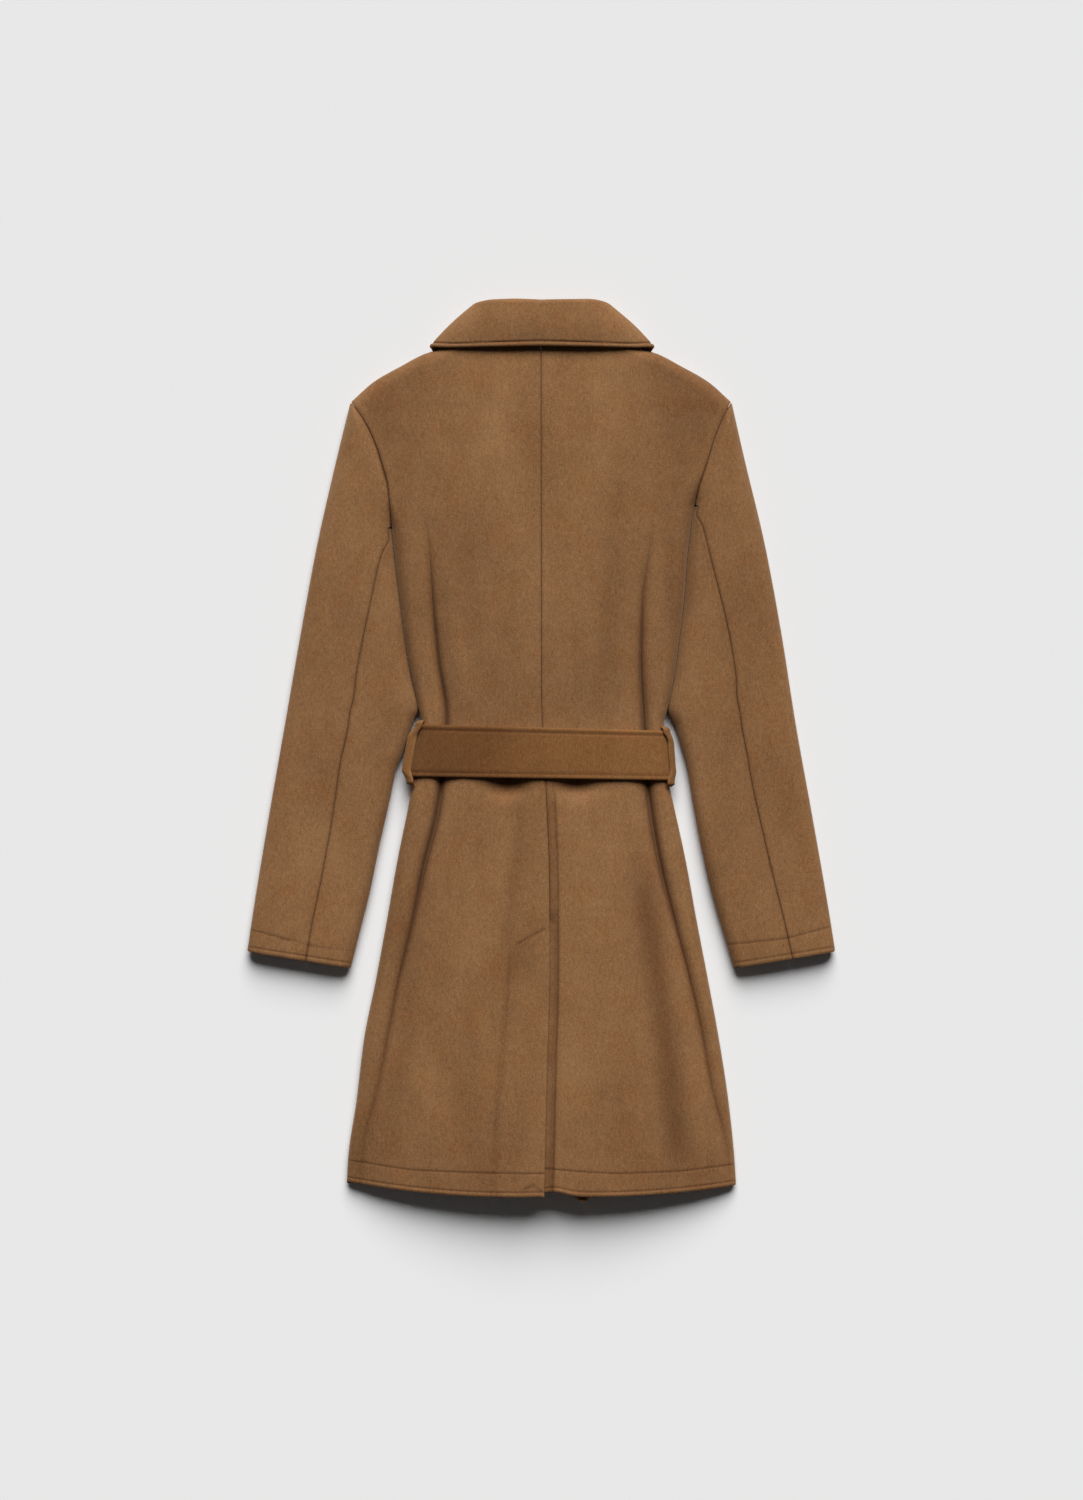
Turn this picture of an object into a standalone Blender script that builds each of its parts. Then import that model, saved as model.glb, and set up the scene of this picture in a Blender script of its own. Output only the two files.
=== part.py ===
# A belted wool coat, laid flat on its front with its back up. X is across the coat, +Y is towards
# the collar and z = 0 is the surface under the fronts. Lengths in the tables are millimetres.
from collections import namedtuple

import bpy
import numpy as np

MM = 0.001

CLOTH = 2.5  # wall of the double-faced wool
BELT_CLOTH = 3.8  # two thicknesses, pressed
COLLAR_CLOTH = 3.0
SEAM = 0.3  # between two pieces that are sewn together
STACK = 0.4  # between two layers that lie on each other

NECK = 443.0  # y of the back neck seam at the centre
SIDE_NECK = (77.0, 454.0)  # where the shoulder seam meets the neck
SHOULDER_POINT = (206.0, 376.0)
UNDERARM = {"left": 238.0, "right": 262.0}  # y of the lowest point of each armhole
SHOULDER_FROM = 262.0  # above this y the cross lines turn towards the shoulder
WRAP = 92.0  # each front reaches this far past the centre
BREAK_POINT = 139.0  # y where the wrapped edge turns up to the neck
SHOULDER_RIM = 7.0  # height of the shoulder point
SHOULDER_ROUND = 13.0
UNDER_ROUND = 9.0  # radius of the fronts' rolled edges
BACK_HEM_RISE = {"left": 14.0, "right": 10.0}  # the hem's corners are this far above its middle
FRONT_HEM_RISE = 8.0
HEM_BELLY = 5.0  # and the line between them bows down by this much
COLLAR_LIFT = 4.7  # the fronts lie on the collar's ends
BELT_LIFT = 4.2  # and on the belt

Outline = namedtuple("Outline", "y left right")
BODY_EDGE = [  # side seam from hem to underarm, then the armhole to the shoulder point
    Outline(-472, -210.8, 211.6),
    Outline(-444, -209.3, 209.8),
    Outline(-380, -200.0, 203.0),
    Outline(-315, -192.0, 193.0),
    Outline(-250, -179.0, 181.0),
    Outline(-185, -167.0, 168.5),
    Outline(-120, -155.5, 156.6),
    Outline(-56, -142.6, 142.6),
    Outline(-30, -138.6, 137.0),
    Outline(0, -133.4, 134.4),
    Outline(26, -129.6, 133.2),
    Outline(43, -132.4, 137.0),
    Outline(73, -139.4, 143.4),
    Outline(103, -145.2, 147.6),
    Outline(164, -153.2, 155.2),
    Outline(202, -158.0, 158.0),
    Outline(238, -161.5, 162.0),
    Outline(285, -165.5, 171.0),
    Outline(309, -172.0, 179.0),
    Outline(333, -180.0, 186.4),
    Outline(355, -191.0, 195.2),
    Outline(376, -206.0, 206.0),
]
SLEEVE_OUTER = [
    Outline(376, -206.6, 206.6),
    Outline(317, -221.0, 220.0),
    Outline(220, -243.0, 243.0),
    Outline(123, -261.0, 261.0),
    Outline(25, -278.0, 276.5),
    Outline(-72, -295.0, 294.0),
    Outline(-169, -311.0, 311.0),
    Outline(-219, -318.6, 319.0),
]
SLEEVE_INNER = [
    Outline(262, -164.0, 166.6),
    Outline(238, -162.4, 163.2),
    Outline(202, -159.4, 159.4),
    Outline(164, -154.8, 156.8),
    Outline(103, -147.0, 149.4),
    Outline(73, -141.6, 145.6),
    Outline(43, -137.8, 142.2),
    Outline(26, -139.4, 144.6),
    Outline(9, -145.0, 149.6),
    Outline(-7, -151.6, 154.4),
    Outline(-23, -157.0, 158.4),
    Outline(-56, -164.0, 164.0),
    Outline(-104, -175.0, 173.0),
    Outline(-153, -185.0, 184.0),
    Outline(-201, -197.0, 198.0),
    Outline(-239, -206.5, 209.5),
]
ShoulderLine = namedtuple("ShoulderLine", "x y rim")  # rim is the height of the edge there
TOP_EDGE = [
    ShoulderLine(0, 443.0, 22.3),
    ShoulderLine(40, 446.0, 21.6),
    ShoulderLine(62, 450.0, 17.0),
    ShoulderLine(77, 454.0, 9.4),
    ShoulderLine(104, 436.0, 9.2),
    ShoulderLine(116, 431.0, 9.0),
    ShoulderLine(125, 428.4, 9.0),
    ShoulderLine(153, 414.0, 8.6),
    ShoulderLine(181, 398.0, 8.0),
    ShoulderLine(206, 376.0, 7.0),
]
Girth = namedtuple("Girth", "y middle side seam round")
GIRTHS = [  # heights of the back's middle, its side roll and the side seam, and the roll's radius
    Girth(-484, 40.0, 12.0, 5.5, 9.0),
    Girth(-400, 38.0, 16.0, 6.5, 10.0),
    Girth(-250, 35.0, 19.0, 8.0, 12.0),
    Girth(-120, 32.0, 21.0, 10.0, 12.0),
    Girth(-40, 29.5, 22.5, 12.5, 10.0),
    Girth(30, 28.5, 22.5, 12.5, 10.0),
    Girth(90, 31.5, 23.0, 11.0, 12.0),
    Girth(170, 34.5, 24.0, 10.0, 13.0),
    Girth(238, 35.5, 24.5, 9.5, 14.0),
    Girth(300, 33.5, 24.0, 9.0, 24.0),
    Girth(376, 29.0, 19.0, 8.0, 24.0),
    Girth(443, 22.3, 14.0, 7.0, 24.0),
]
Valley = namedtuple("Valley", "y left right depth_left depth_right")
VALLEYS = [  # the sharp fold beside each side roll: its x and its depth
    Valley(-484, -198, 206, 1.5, 1.5),
    Valley(-439, -194, 202, 2.6, 2.6),
    Valley(-367, -177, 185, 3.6, 3.8),
    Valley(-312, -166, 175, 4.2, 4.6),
    Valley(-254, -155, 162, 5.0, 5.4),
    Valley(-164, -134, 138, 6.6, 6.6),
    Valley(-100, -120, 123, 8.0, 8.0),
    Valley(-34, -107, 115, 9.0, 9.0),
    Valley(31, -102, 111, 9.0, 9.0),
    Valley(96, -111, 108, 8.0, 7.5),
    Valley(160, -117, 110, 5.0, 4.6),
    Valley(215, -121, 118, 2.0, 1.8),
    Valley(274, -128, 124, 0.0, 0.0),
    Valley(443, -128, 124, 0.0, 0.0),
]
VALLEY_WIDTH = 9.0
Dip = namedtuple("Dip", "x y wide tall depth")
DIPS = [  # hollows where the skirt falls away under the belt
    Dip(-38, -42, 19, 15, 7.0),
    Dip(40, -42, 19, 15, 7.0),
    Dip(128, -240, 16, 130, 2.4),
]
CentreBack = namedtuple("CentreBack", "y x under")
CENTRE_BACK = [  # the seam, and how far the right panel reaches under the left one in the vent
    CentreBack(-484, 3.6, -49.0),
    CentreBack(-353, 6.5, -43.0),
    CentreBack(-237, 9.3, -34.0),
    CentreBack(-212, 9.3, -29.0),
    CentreBack(-192, 9.3, 9.3),
    CentreBack(-164, 9.3, 9.3),
    CentreBack(-34, 5.0, 5.0),
    CentreBack(60, 0.5, 0.5),
    CentreBack(443, 0.0, 0.0),
]
VENT_TOP = -192.0
LEVELS = [-483.6, -465, -430, -385, -340, -295, -250, -219, -205, -192, -172, -140, -105, -75, -54]
LEVELS += [-40, -28, -6, 14, 30, 50, 80, 120, 165, 205, 238, 262, 290, 320, 350, 378, 400, 418]
LEVELS += [431, 439, 443]
FRONT_LEVELS = [-480, -440, -350, -250, -150, -90, -60, -36, -6, 26, 52, 90, 139, 190, 238, 270]
FRONT_LEVELS += [310, 345, 380, 410, 430, 443, 450, 454]

SleeveLine = namedtuple("SleeveLine", "y crown back_left back_right")
SLEEVES = [  # crown height, and how far across the back seam runs from the inner edge
    SleeveLine(376, 24.0, 0.0, 0.0),
    SleeveLine(300, 26.5, 0.0, 0.0),
    SleeveLine(262, 27.0, 0.0, 0.0),
    SleeveLine(238, 27.0, 0.0, 0.17),
    SleeveLine(206, 27.0, 0.17, 0.28),
    SleeveLine(164, 26.5, 0.295, 0.39),
    SleeveLine(109, 25.5, 0.41, 0.50),
    SleeveLine(39, 24.0, 0.487, 0.545),
    SleeveLine(-39, 22.5, 0.469, 0.53),
    SleeveLine(-110, 21.5, 0.444, 0.55),
    SleeveLine(-190, 21.0, 0.444, 0.57),
    SleeveLine(-239, 21.0, 0.43, 0.575),
]
CUFF = -238.0
HEAD_STEPS = [0, 0.05, 0.13, 0.27, 0.5, 0.76, 1]
SLEEVE_STEPS = [0, 0.04, 0.1, 0.19, 0.29, 0.4, 0.51, 0.62, 0.74, 0.86, 0.95, 1]
SLEEVE_EDGE = 8.5  # height of the sleeve's two folded sides
SLEEVE_ROUND = 13.0
SLEEVE_UNDER_ROUND = 8.0
FOREARM_SEAM = 0.14  # across the underside, from the inner edge
ROLLED = np.array([1, 0.62, 0.29, 0.076, 0])  # where a rounded edge has its points

CollarLine = namedtuple("CollarLine", "seam roll edge out radius")
COLLAR = [  # from the centre back to the end on the front, for the left side
    CollarLine((0, 443.8, 20.8), (-1, 479.6, 24), (0, 435.2, 32), (0, 0, 1), 4.5),
    CollarLine((-40, 446.9, 20.1), (-37, 480.6, 24), (-58, 434.4, 32), (0, 0, 1), 4.5),
    CollarLine((-62, 451.2, 15.6), (-60, 480.2, 21), (-98, 434.8, 29), (-0.25, 0.25, 0.94), 4.5),
    CollarLine((-77.6, 455.8, 9.4), (-72, 475.0, 14), (-118.4, 435.8, 16), (-0.7, 0.7, 0), 4.0),
    CollarLine((-75.6, 453.4, 7.4), (-69.0, 471.0, 9.2), (-118.6, 432.8, 8.0), (-0.6, 0.6, -0.5), 3.4),
    CollarLine((-73.0, 449.4, 6.3), (-64, 465.0, 5.6), (-114, 425.0, 2.5), (-0.3, 0.3, -0.9), 2.8),
    CollarLine((-59.8, 424.6, 5.95), (-47.8, 431.0, 3.8), (-99, 392.6, 1.5), (0, 0, -1), 2.3),
    CollarLine((-44.2, 394.6, 5.95), (-38.2, 397.7, 3.8), (-87.8, 360.5, 1.5), (0, 0, -1), 2.3),
]
COLLAR_STEPS = 2  # stations between two lines of the table

BELT_TOP = (26.5, 19.0)  # y of its upper edge at the left side and at the right
BELT_BOTTOM = (-30.5, -34.5)
BELT_LAP = (-50.0, 50.0)  # the two ends overlap between these x at the hidden front
BELT_SLACK = 0.6  # extra room at the two sides
LOOP_ENDS = (44.0, -52.0)  # y of its ends
LOOP_BASE = 8.5  # height of its lower edge
LOOP_WIDTH = 9.5
LOOP_CLOTH = 2.2
LOOP_ROOM = 2.2  # between the belt and the loop

COAT_COLOUR = (0.235, 0.132, 0.062, 1)
BELT_COLOUR = (0.205, 0.108, 0.047, 1)
UNDER_COLOUR = (0.225, 0.126, 0.058, 1)


def reading(rows, column, at):
    """The column's value at each place, on a curve through the rows that never overshoots them."""
    rows = sorted(rows, key=lambda row: row[0])
    places = np.array([row[0] for row in rows], float)
    values = np.array([getattr(row, column) for row in rows], float)
    steps = np.diff(places)
    slopes = np.diff(values) / steps
    product = slopes[1:] * slopes[:-1]
    total = np.where(product > 0, slopes[1:] + slopes[:-1], 1.0)
    tangents = np.concatenate([slopes[:1], np.where(product > 0, 2 * product / total, 0), slopes[-1:]])
    at = np.asarray(at, float)
    k = np.clip(np.searchsorted(places, at) - 1, 0, len(steps) - 1)
    s = np.clip((at - places[k]) / steps[k], 0, 1)
    rise = values[k + 1] - values[k]
    bend = s * (1 - s) * steps[k]
    return values[k] + rise * s * s * (3 - 2 * s) + bend * ((1 - s) * tangents[k] - s * tangents[k + 1])


def smooth(x):
    x = np.clip(x, 0, 1)
    return x * x * (3 - 2 * x)


def roll(distance, radius):
    """How far a rounded edge has risen at this distance from it: 0 at the edge, 1 past the radius."""
    reach = np.clip(distance / radius, 0, 1)
    return np.sqrt(1 - (1 - reach) ** 2)


def hump(x, width):
    return np.exp(-((x / width) ** 2))


def side_name(side):
    return "left" if side < 0 else "right"


def unit(vectors):
    return vectors / np.maximum(np.linalg.norm(vectors, axis=-1, keepdims=True), 1e-9)


def grid_normals(points, wrap=False):
    """Normals of a grid of points, from the differences along its rows and columns."""
    if wrap:
        across = np.roll(points, -1, axis=1) - np.roll(points, 1, axis=1)
    else:
        across = np.gradient(points, axis=1)
    return unit(np.cross(across, np.gradient(points, axis=0)))


def add_sheet(name, outer, inner, colour):
    """One closed piece of cloth from two grids of points, joined round their borders."""
    rows, columns = outer.shape[:2]
    points = np.concatenate([outer.reshape(-1, 3), inner.reshape(-1, 3)]) * MM
    first = rows * columns
    grid = np.arange(first).reshape(rows, columns)
    quads = []
    for i in range(rows - 1):
        for j in range(columns - 1):
            a, b, c, d = grid[i, j], grid[i, j + 1], grid[i + 1, j + 1], grid[i + 1, j]
            quads.append((a, b, c, d))
            quads.append((first + a, first + d, first + c, first + b))
    border = [grid[0, j] for j in range(columns)] + [grid[i, -1] for i in range(1, rows)]
    border += [grid[-1, j] for j in range(columns - 2, -1, -1)]
    border += [grid[i, 0] for i in range(rows - 2, 0, -1)]
    for a, b in zip(border, border[1:] + border[:1]):
        quads.append((b, a, first + a, first + b))
    mesh = bpy.data.meshes.new(name)
    mesh.from_pydata([tuple(p) for p in points.tolist()], [], [tuple(map(int, q)) for q in quads])
    mesh.shade_smooth()
    mesh.set_sharp_from_angle(angle=0.8)
    mesh.materials.append(cloth_material(name, colour))
    piece = bpy.data.objects.new(name, mesh)
    bpy.context.scene.collection.objects.link(piece)
    return piece


def cloth_material(name, colour):
    material = bpy.data.materials.new(name)
    material.use_nodes = True
    shader = material.node_tree.nodes["Principled BSDF"]
    shader.inputs["Base Color"].default_value = colour
    shader.inputs["Roughness"].default_value = 0.95
    shader.inputs["Metallic"].default_value = 0.0
    return material


def top_height(x, y, side, folds=1.0):
    """Height of the back's outer face inside its rolled edges."""
    edge = np.abs(reading(BODY_EDGE, side_name(side), np.clip(y, -472, 376)))
    middle = reading(GIRTHS, "middle", y)
    low = reading(GIRTHS, "side", y)
    across = np.clip(np.abs(x) / np.maximum(edge, 1), 0, 1)
    height = low + (middle - low) * (1 - across**2.2)
    valley = reading(VALLEYS, side_name(side), y)
    depth = reading(VALLEYS, "depth_" + side_name(side), y)
    height = height - folds * depth * hump(x - valley, VALLEY_WIDTH)
    ridge = 0.16 * depth * hump(x - valley + side * 22, 12) * (1 - hump(y, 60))
    height = height + folds * ridge
    for dip in DIPS:
        height = height - folds * dip.depth * hump(x - dip.x, dip.wide) * hump(y - dip.y, dip.tall)
    return height


def edge_y(level, lowest, corner_rise, highest):
    """Height on the sheet of a cross line's outer end, from that of its inner end."""
    rise = corner_rise * (1 - smooth((level - lowest) / 90))
    drop = (highest - SHOULDER_POINT[1]) * smooth((level - SHOULDER_FROM) / (highest - SHOULDER_FROM))
    return level + rise - drop


def from_shoulder(y, side):
    """Distance in plan from the shoulder point to the armhole at this height."""
    x = reading(BODY_EDGE, side_name(side), y)
    return np.hypot(np.abs(x) - SHOULDER_POINT[0], y - SHOULDER_POINT[1])


def armhole_rim(y, side, rolled=True):
    """Height of the armhole seam, which rises from the folded edge at the underarm and the shoulder."""
    seam = reading(GIRTHS, "seam", y)
    top = reading(GIRTHS, "side", y) - 0.8
    rim = seam + (top - seam) * np.sqrt(smooth((y - UNDERARM[side_name(side)]) / 34))
    if rolled:
        rim = SHOULDER_RIM + (rim - SHOULDER_RIM) * roll(from_shoulder(y, side), SHOULDER_ROUND)
    return rim


def spread(levels, side, start, corner, rounds, columns):
    """Plan of one half of a sheet: rows of points from its inner edge out to the body's edge."""
    plan = []
    for level, inner_x, radius in zip(levels, start, rounds):
        y = edge_y(level, levels[0], corner, levels[-1])
        end = np.array([reading(BODY_EDGE, side_name(side), y), y])
        begin = np.array([inner_x, level])
        width = np.linalg.norm(end - begin)
        last = 1 - radius / width
        u = np.concatenate([columns(level, last, inner_x, width, side), 1 - (1 - last) * ROLLED[1:]])
        plan.append(begin + (end - begin) * u[:, None])
    return np.array(plan)


def raise_top_edge(plan, levels):
    """Bends the last cross lines up to the shoulder and neck seams."""
    lift_line = plan[-1]
    target = lift_line.copy()
    target[:, 1] = reading(TOP_EDGE, "y", np.abs(lift_line[:, 0]))
    weight = smooth((np.array(levels) - SHOULDER_FROM) / (levels[-1] - SHOULDER_FROM))
    return plan + weight[:, None, None] * (target - lift_line)


def distance_to(plan, border):
    return np.linalg.norm(plan - border, axis=-1)


def back_columns(level, last, start, width, side):
    """Fractions across a half of the back: out to the neck, to the valley and to the rolled edge."""
    edge = abs(reading(BODY_EDGE, side_name(side), np.clip(level, -472, 376)))
    neck = SIDE_NECK[0] / SHOULDER_POINT[0]
    first = neck * np.array([0, 0.25, 0.5, 0.75, 1])
    if side > 0:
        seam = float(reading(CENTRE_BACK, "x", level))
        places = np.array([start, (start + seam + 1.5) / 2, seam + 1.5, seam + 13, 45, edge * neck + 4])
        first = (places - start) / width
        neck = first[-1] if level < NECK - 60 else neck
        first[-1] = neck
    valley = abs(float(reading(VALLEYS, side_name(side), level))) - abs(start) * np.sign(start) * side
    valley = min(max(valley / width, neck + 0.2), last - 0.02)
    middle = neck + (valley - neck) * np.array([0.32, 0.6, 0.82, 1])
    return np.concatenate([first, middle, valley + (last - valley) * np.array([0.35, 0.7, 1])])


def add_back(side):
    name = "back_" + side_name(side)
    levels = np.array(LEVELS)
    seam_x = reading(CENTRE_BACK, "x", levels)
    start = seam_x + side * SEAM / 2
    if side > 0:
        start = np.where(levels < VENT_TOP - 1, reading(CENTRE_BACK, "under", levels), start)
    rounds = reading(GIRTHS, "round", levels)
    plan = spread(levels, side, start, BACK_HEM_RISE[side_name(side)], rounds, back_columns)
    plan = raise_top_edge(plan, levels)
    u = np.abs(plan[0, :, 0]) / abs(plan[0, -1, 0])
    belly = 1 - smooth((levels - levels[0]) / 120)
    plan[:, :, 1] -= belly[:, None] * (HEM_BELLY * 4 * u * (1 - u))
    x, y = plan[:, :, 0], plan[:, :, 1]
    rim = reading(GIRTHS, "seam", y[:, -1])
    rim = np.where(y[:, -1] > UNDERARM[side_name(side)], armhole_rim(y[:, -1], side, rolled=False), rim)
    height = top_height(x, y, side)
    from_side = distance_to(plan, plan[:, -1:, :])
    height = rim[:, None] + (height - rim[:, None]) * roll(from_side, rounds[:, None])
    from_top = distance_to(plan, plan[-1:, :, :])
    top_rim = reading(TOP_EDGE, "rim", np.abs(plan[-1, :, 0]))
    top_round = SHOULDER_ROUND + 12 * (1 - smooth((np.abs(plan[-1, :, 0]) - 40) / 40))
    height = top_rim + (height - top_rim) * roll(from_top, top_round[None, :])
    if side > 0:
        sunk = smooth((-172 - levels) / 18)[:, None]
        height = height - sunk * (CLOTH + STACK) * smooth((seam_x[:, None] + 12 - x) / 9)
    outer = np.dstack([x, y, height])
    normals = grid_normals(outer) * side
    normals = seam_normals(outer, normals, side)
    inner = outer - CLOTH * normals
    outer, inner = part_seams(outer, inner, side, 1)
    order = slice(None) if side > 0 else slice(None, None, -1)
    return add_sheet(name, outer[:, order], inner[:, order], COAT_COLOUR)


def seam_normals(outer, normals, side):
    """Turns the edge normals so that the pieces on both sides of each seam keep to their own side."""
    edge_line = outer[:, -1, :2]
    along = np.gradient(edge_line, axis=0)
    sideways = unit(np.stack([side * along[:, 1], -side * along[:, 0]], axis=-1))
    below = outer[:, -1, 1] <= UNDERARM[side_name(side)] + 1
    normals[below, -1, :2] = sideways[below]
    normals[below, -1, 2] = 0
    across = np.sum(normals[~below, -1, :2] * sideways[~below], axis=-1)
    normals[~below, -1, :2] += np.maximum(0.05 - across, 0)[:, None] * sideways[~below]
    top_line = outer[-1, :, :2]
    along = np.gradient(top_line, axis=0)
    upward = unit(np.stack([-side * along[:, 1], side * along[:, 0]], axis=-1))
    shoulder = np.abs(top_line[:, 0]) >= SIDE_NECK[0] - 1
    normals[-1, shoulder, :2] = upward[shoulder]
    normals[-1, shoulder, 2] = 0
    normals[-1, -1] = unit(np.array([side * 0.5, 0.87, 0]))
    normals[:, 0, 0] = 0
    return unit(normals)


def part_seams(outer, inner, side, up):
    """Draws the edges back by half a seam from the side, the armhole and the shoulder."""
    outer, inner = outer.copy(), inner.copy()
    half = SEAM / 2
    armhole = outer[:, -1, 1] > UNDERARM[side_name(side)] + 1
    for grid in (outer, inner):
        grid[~armhole, -1, 2] += up * half
        grid[armhole, -1, 0] -= side * half
        shoulder = np.abs(outer[-1, :, 0]) >= SIDE_NECK[0] - 1
        grid[-1, shoulder, 2] += up * half
    return outer, inner


def wrap_edge(side, y):
    """x of a front's free edge: straight up past the centre, then slanting to the side neck."""
    slant = np.clip((y - BREAK_POINT) / (SIDE_NECK[1] - BREAK_POINT), 0, 1)
    return -side * WRAP + side * (WRAP + SIDE_NECK[0]) * slant


def front_lift(x, y):
    """How far the fronts are held off the surface by the belt and by the collar's ends."""
    belt = smooth((y + 85) / 46) * smooth((78 - y) / 46)
    lapped = smooth((x + 92) / 34) * smooth((92 - x) / 34)
    collar = smooth((y - 318) / 34) * smooth((152 - np.abs(x)) / 26)
    return belt * (BELT_LIFT + lapped * (BELT_CLOTH + STACK)) + COLLAR_LIFT * collar


def front_columns(level, last, start, width, side):
    """Fractions across a front: over the other front, up or down the step at its edge, and to the side."""
    lapped = 2 * abs(start) if level < BREAK_POINT else max(-2 * side * start, 16)
    over = lapped * np.array([0, 0.185, 0.5, 0.815, 1]) + np.array([0, 0, 0, 0, 4 * (side < 0)])
    step = min(over[-1] + 30, last * width - 8)
    between = (step + last * width) / 2
    return np.concatenate([over, [step, between, last * width]]) / width


def add_front(side):
    name = "front_" + side_name(side)
    levels = np.array(FRONT_LEVELS, float)
    start = wrap_edge(side, levels)
    rounds = np.full(len(levels), UNDER_ROUND)
    plan = spread(levels, side, start, FRONT_HEM_RISE, rounds, front_columns)
    plan = raise_top_edge(plan, levels)
    x, y = plan[:, :, 0], plan[:, :, 1]
    height = front_lift(x, y)
    if side < 0:
        over = smooth((x - wrap_edge(1, y) + 34) / 30)
        height = height + (CLOTH + STACK) * over
    rim = reading(GIRTHS, "seam", y[:, -1])
    rim = np.where(y[:, -1] > UNDERARM[side_name(side)], under_rim(y[:, -1], side, rolled=False), rim)
    from_side = distance_to(plan, plan[:, -1:, :])
    height = rim[:, None] + (height - rim[:, None]) * roll(from_side, UNDER_ROUND)
    from_top = distance_to(plan, plan[-1:, :, :])
    top_rim = reading(TOP_EDGE, "rim", np.abs(plan[-1, :, 0]))
    height = top_rim + (height - top_rim) * roll(from_top, UNDER_ROUND)
    outer = np.dstack([x, y, height])
    normals = grid_normals(outer) * -side
    normals = seam_normals(outer, normals, side)
    inner = outer - CLOTH * normals
    outer, inner = part_seams(outer, inner, side, -1)
    order = slice(None) if side < 0 else slice(None, None, -1)
    return add_sheet(name, outer[:, order], inner[:, order], UNDER_COLOUR)


def under_rim(y, side, rolled=True):
    """Height of the armhole seam on the underside."""
    seam = reading(GIRTHS, "seam", y)
    low = front_lift(np.full_like(np.asarray(y, float), side * 190.0), y) + 0.6
    rim = seam + (low - seam) * np.sqrt(smooth((y - UNDERARM[side_name(side)]) / 26))
    if rolled:
        rim = SHOULDER_RIM + (rim - SHOULDER_RIM) * roll(from_shoulder(y, side), UNDER_ROUND)
    return rim


def sleeve_across(side, y):
    """Plan of the sleeve's cross line at this height: its end at the body or underarm, and its outer end."""
    name = side_name(side)
    if y > UNDERARM[name]:
        inner = np.array([reading(BODY_EDGE, name, y) + side * SEAM, y])
    else:
        inner = np.array([reading(SLEEVE_INNER, name, y), y])
    outer_y = y + 18 * smooth((SHOULDER_POINT[1] - y) / 400)
    return inner, np.array([reading(SLEEVE_OUTER, name, outer_y), outer_y])


def sleeve_points(side, y, q_top, q_low):
    """Points across the sleeve's upper face and then its underside, at these fractions from the body."""
    name = side_name(side)
    inner, outer = sleeve_across(side, y)
    width = np.linalg.norm(outer - inner)
    crown = reading(SLEEVES, "crown", y)
    face = SLEEVE_EDGE + 10 + (crown - SLEEVE_EDGE - 10) * (1 - np.abs(2 * q_top - 1) ** 2.4)
    at_body = armhole_rim(y, side) if y > UNDERARM[name] else SLEEVE_EDGE
    below_body = under_rim(y, side) if y > UNDERARM[name] else SLEEVE_EDGE
    top = at_body + (face - at_body) * roll(q_top * width, SLEEVE_ROUND)
    top = SLEEVE_EDGE + (top - SLEEVE_EDGE) * roll((1 - q_top) * width, SLEEVE_ROUND)
    low = below_body * (1 - roll(q_low * width, SLEEVE_UNDER_ROUND))
    low = SLEEVE_EDGE + (low - SLEEVE_EDGE) * roll((1 - q_low) * width, SLEEVE_UNDER_ROUND)
    q = np.concatenate([q_top, q_low])
    plan = inner + (outer - inner) * q[:, None]
    return np.column_stack([plan, np.concatenate([top, low])])


def upper_fractions(width, first, end):
    """Places of the upper sleeve's points: over the top, then under to the forearm seam."""
    top_edge = min(SLEEVE_ROUND / width, 0.45) * ROLLED
    low_edge = min(SLEEVE_UNDER_ROUND / width, 0.4) * ROLLED
    last = 1 - top_edge[0]
    over = np.concatenate([first + (last - first) * np.array([0, 0.12, 0.3, 0.55, 0.8]), 1 - top_edge])
    flat = min(0.86, 0.96 - low_edge[0]) - end
    below = np.concatenate([1 - low_edge[-2::-1], end + flat * np.array([1, 0.6, 0.3, 0.08, 0])])
    return over, below


def under_fractions(width, first, end):
    """Places of the under sleeve's points: its share of the top, and its share of the underside."""
    in_top = min(SLEEVE_ROUND / width, first * 0.6)
    in_low = min(SLEEVE_UNDER_ROUND / width, end * 0.4)
    over = np.concatenate([[0], in_top * np.array([0.08, 0.3, 0.7]), first * np.array([0.72, 1])])
    below = np.concatenate([end * np.array([1, 0.6]), in_low * np.array([0.5, 0.14])])
    return over, below


def sleeve_rows(side):
    """Heights of the sleeve's cross lines: those of the head, above the underarm, and the rest."""
    underarm = UNDERARM[side_name(side)]
    top = SHOULDER_POINT[1] - 2.0
    heads = top - (top - underarm - 2.5) * np.array(HEAD_STEPS)
    return heads, underarm + (CUFF - underarm) * np.array(SLEEVE_STEPS)


def sleeve_grids(side):
    """Grids of the upper sleeve and of the under sleeve, and the sleeve's width at each row."""
    name = side_name(side)
    heads, arms = sleeve_rows(side)
    upper, under, widths = [], [], []
    for y in np.concatenate([heads, arms]):
        inner, outer = sleeve_across(side, y)
        width = np.linalg.norm(outer - inner)
        widths.append(width)
        if y > UNDERARM[name]:
            upper.append(sleeve_points(side, y, *upper_fractions(width, 0.0, 0.0)))
            continue
        first = max(float(reading(SLEEVES, "back_" + name, y)), 4 / width)
        end = FOREARM_SEAM * smooth((UNDERARM[name] - y) / 120) + 6 / width
        upper.append(sleeve_points(side, y, *upper_fractions(width, first, end)))
        over, below = under_fractions(width, first, end)
        ring = sleeve_points(side, y, over, below)
        under.append(np.concatenate([ring[len(over) :], ring[: len(over)]]))
    return np.array(upper), np.array(under), np.array(widths)


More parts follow.
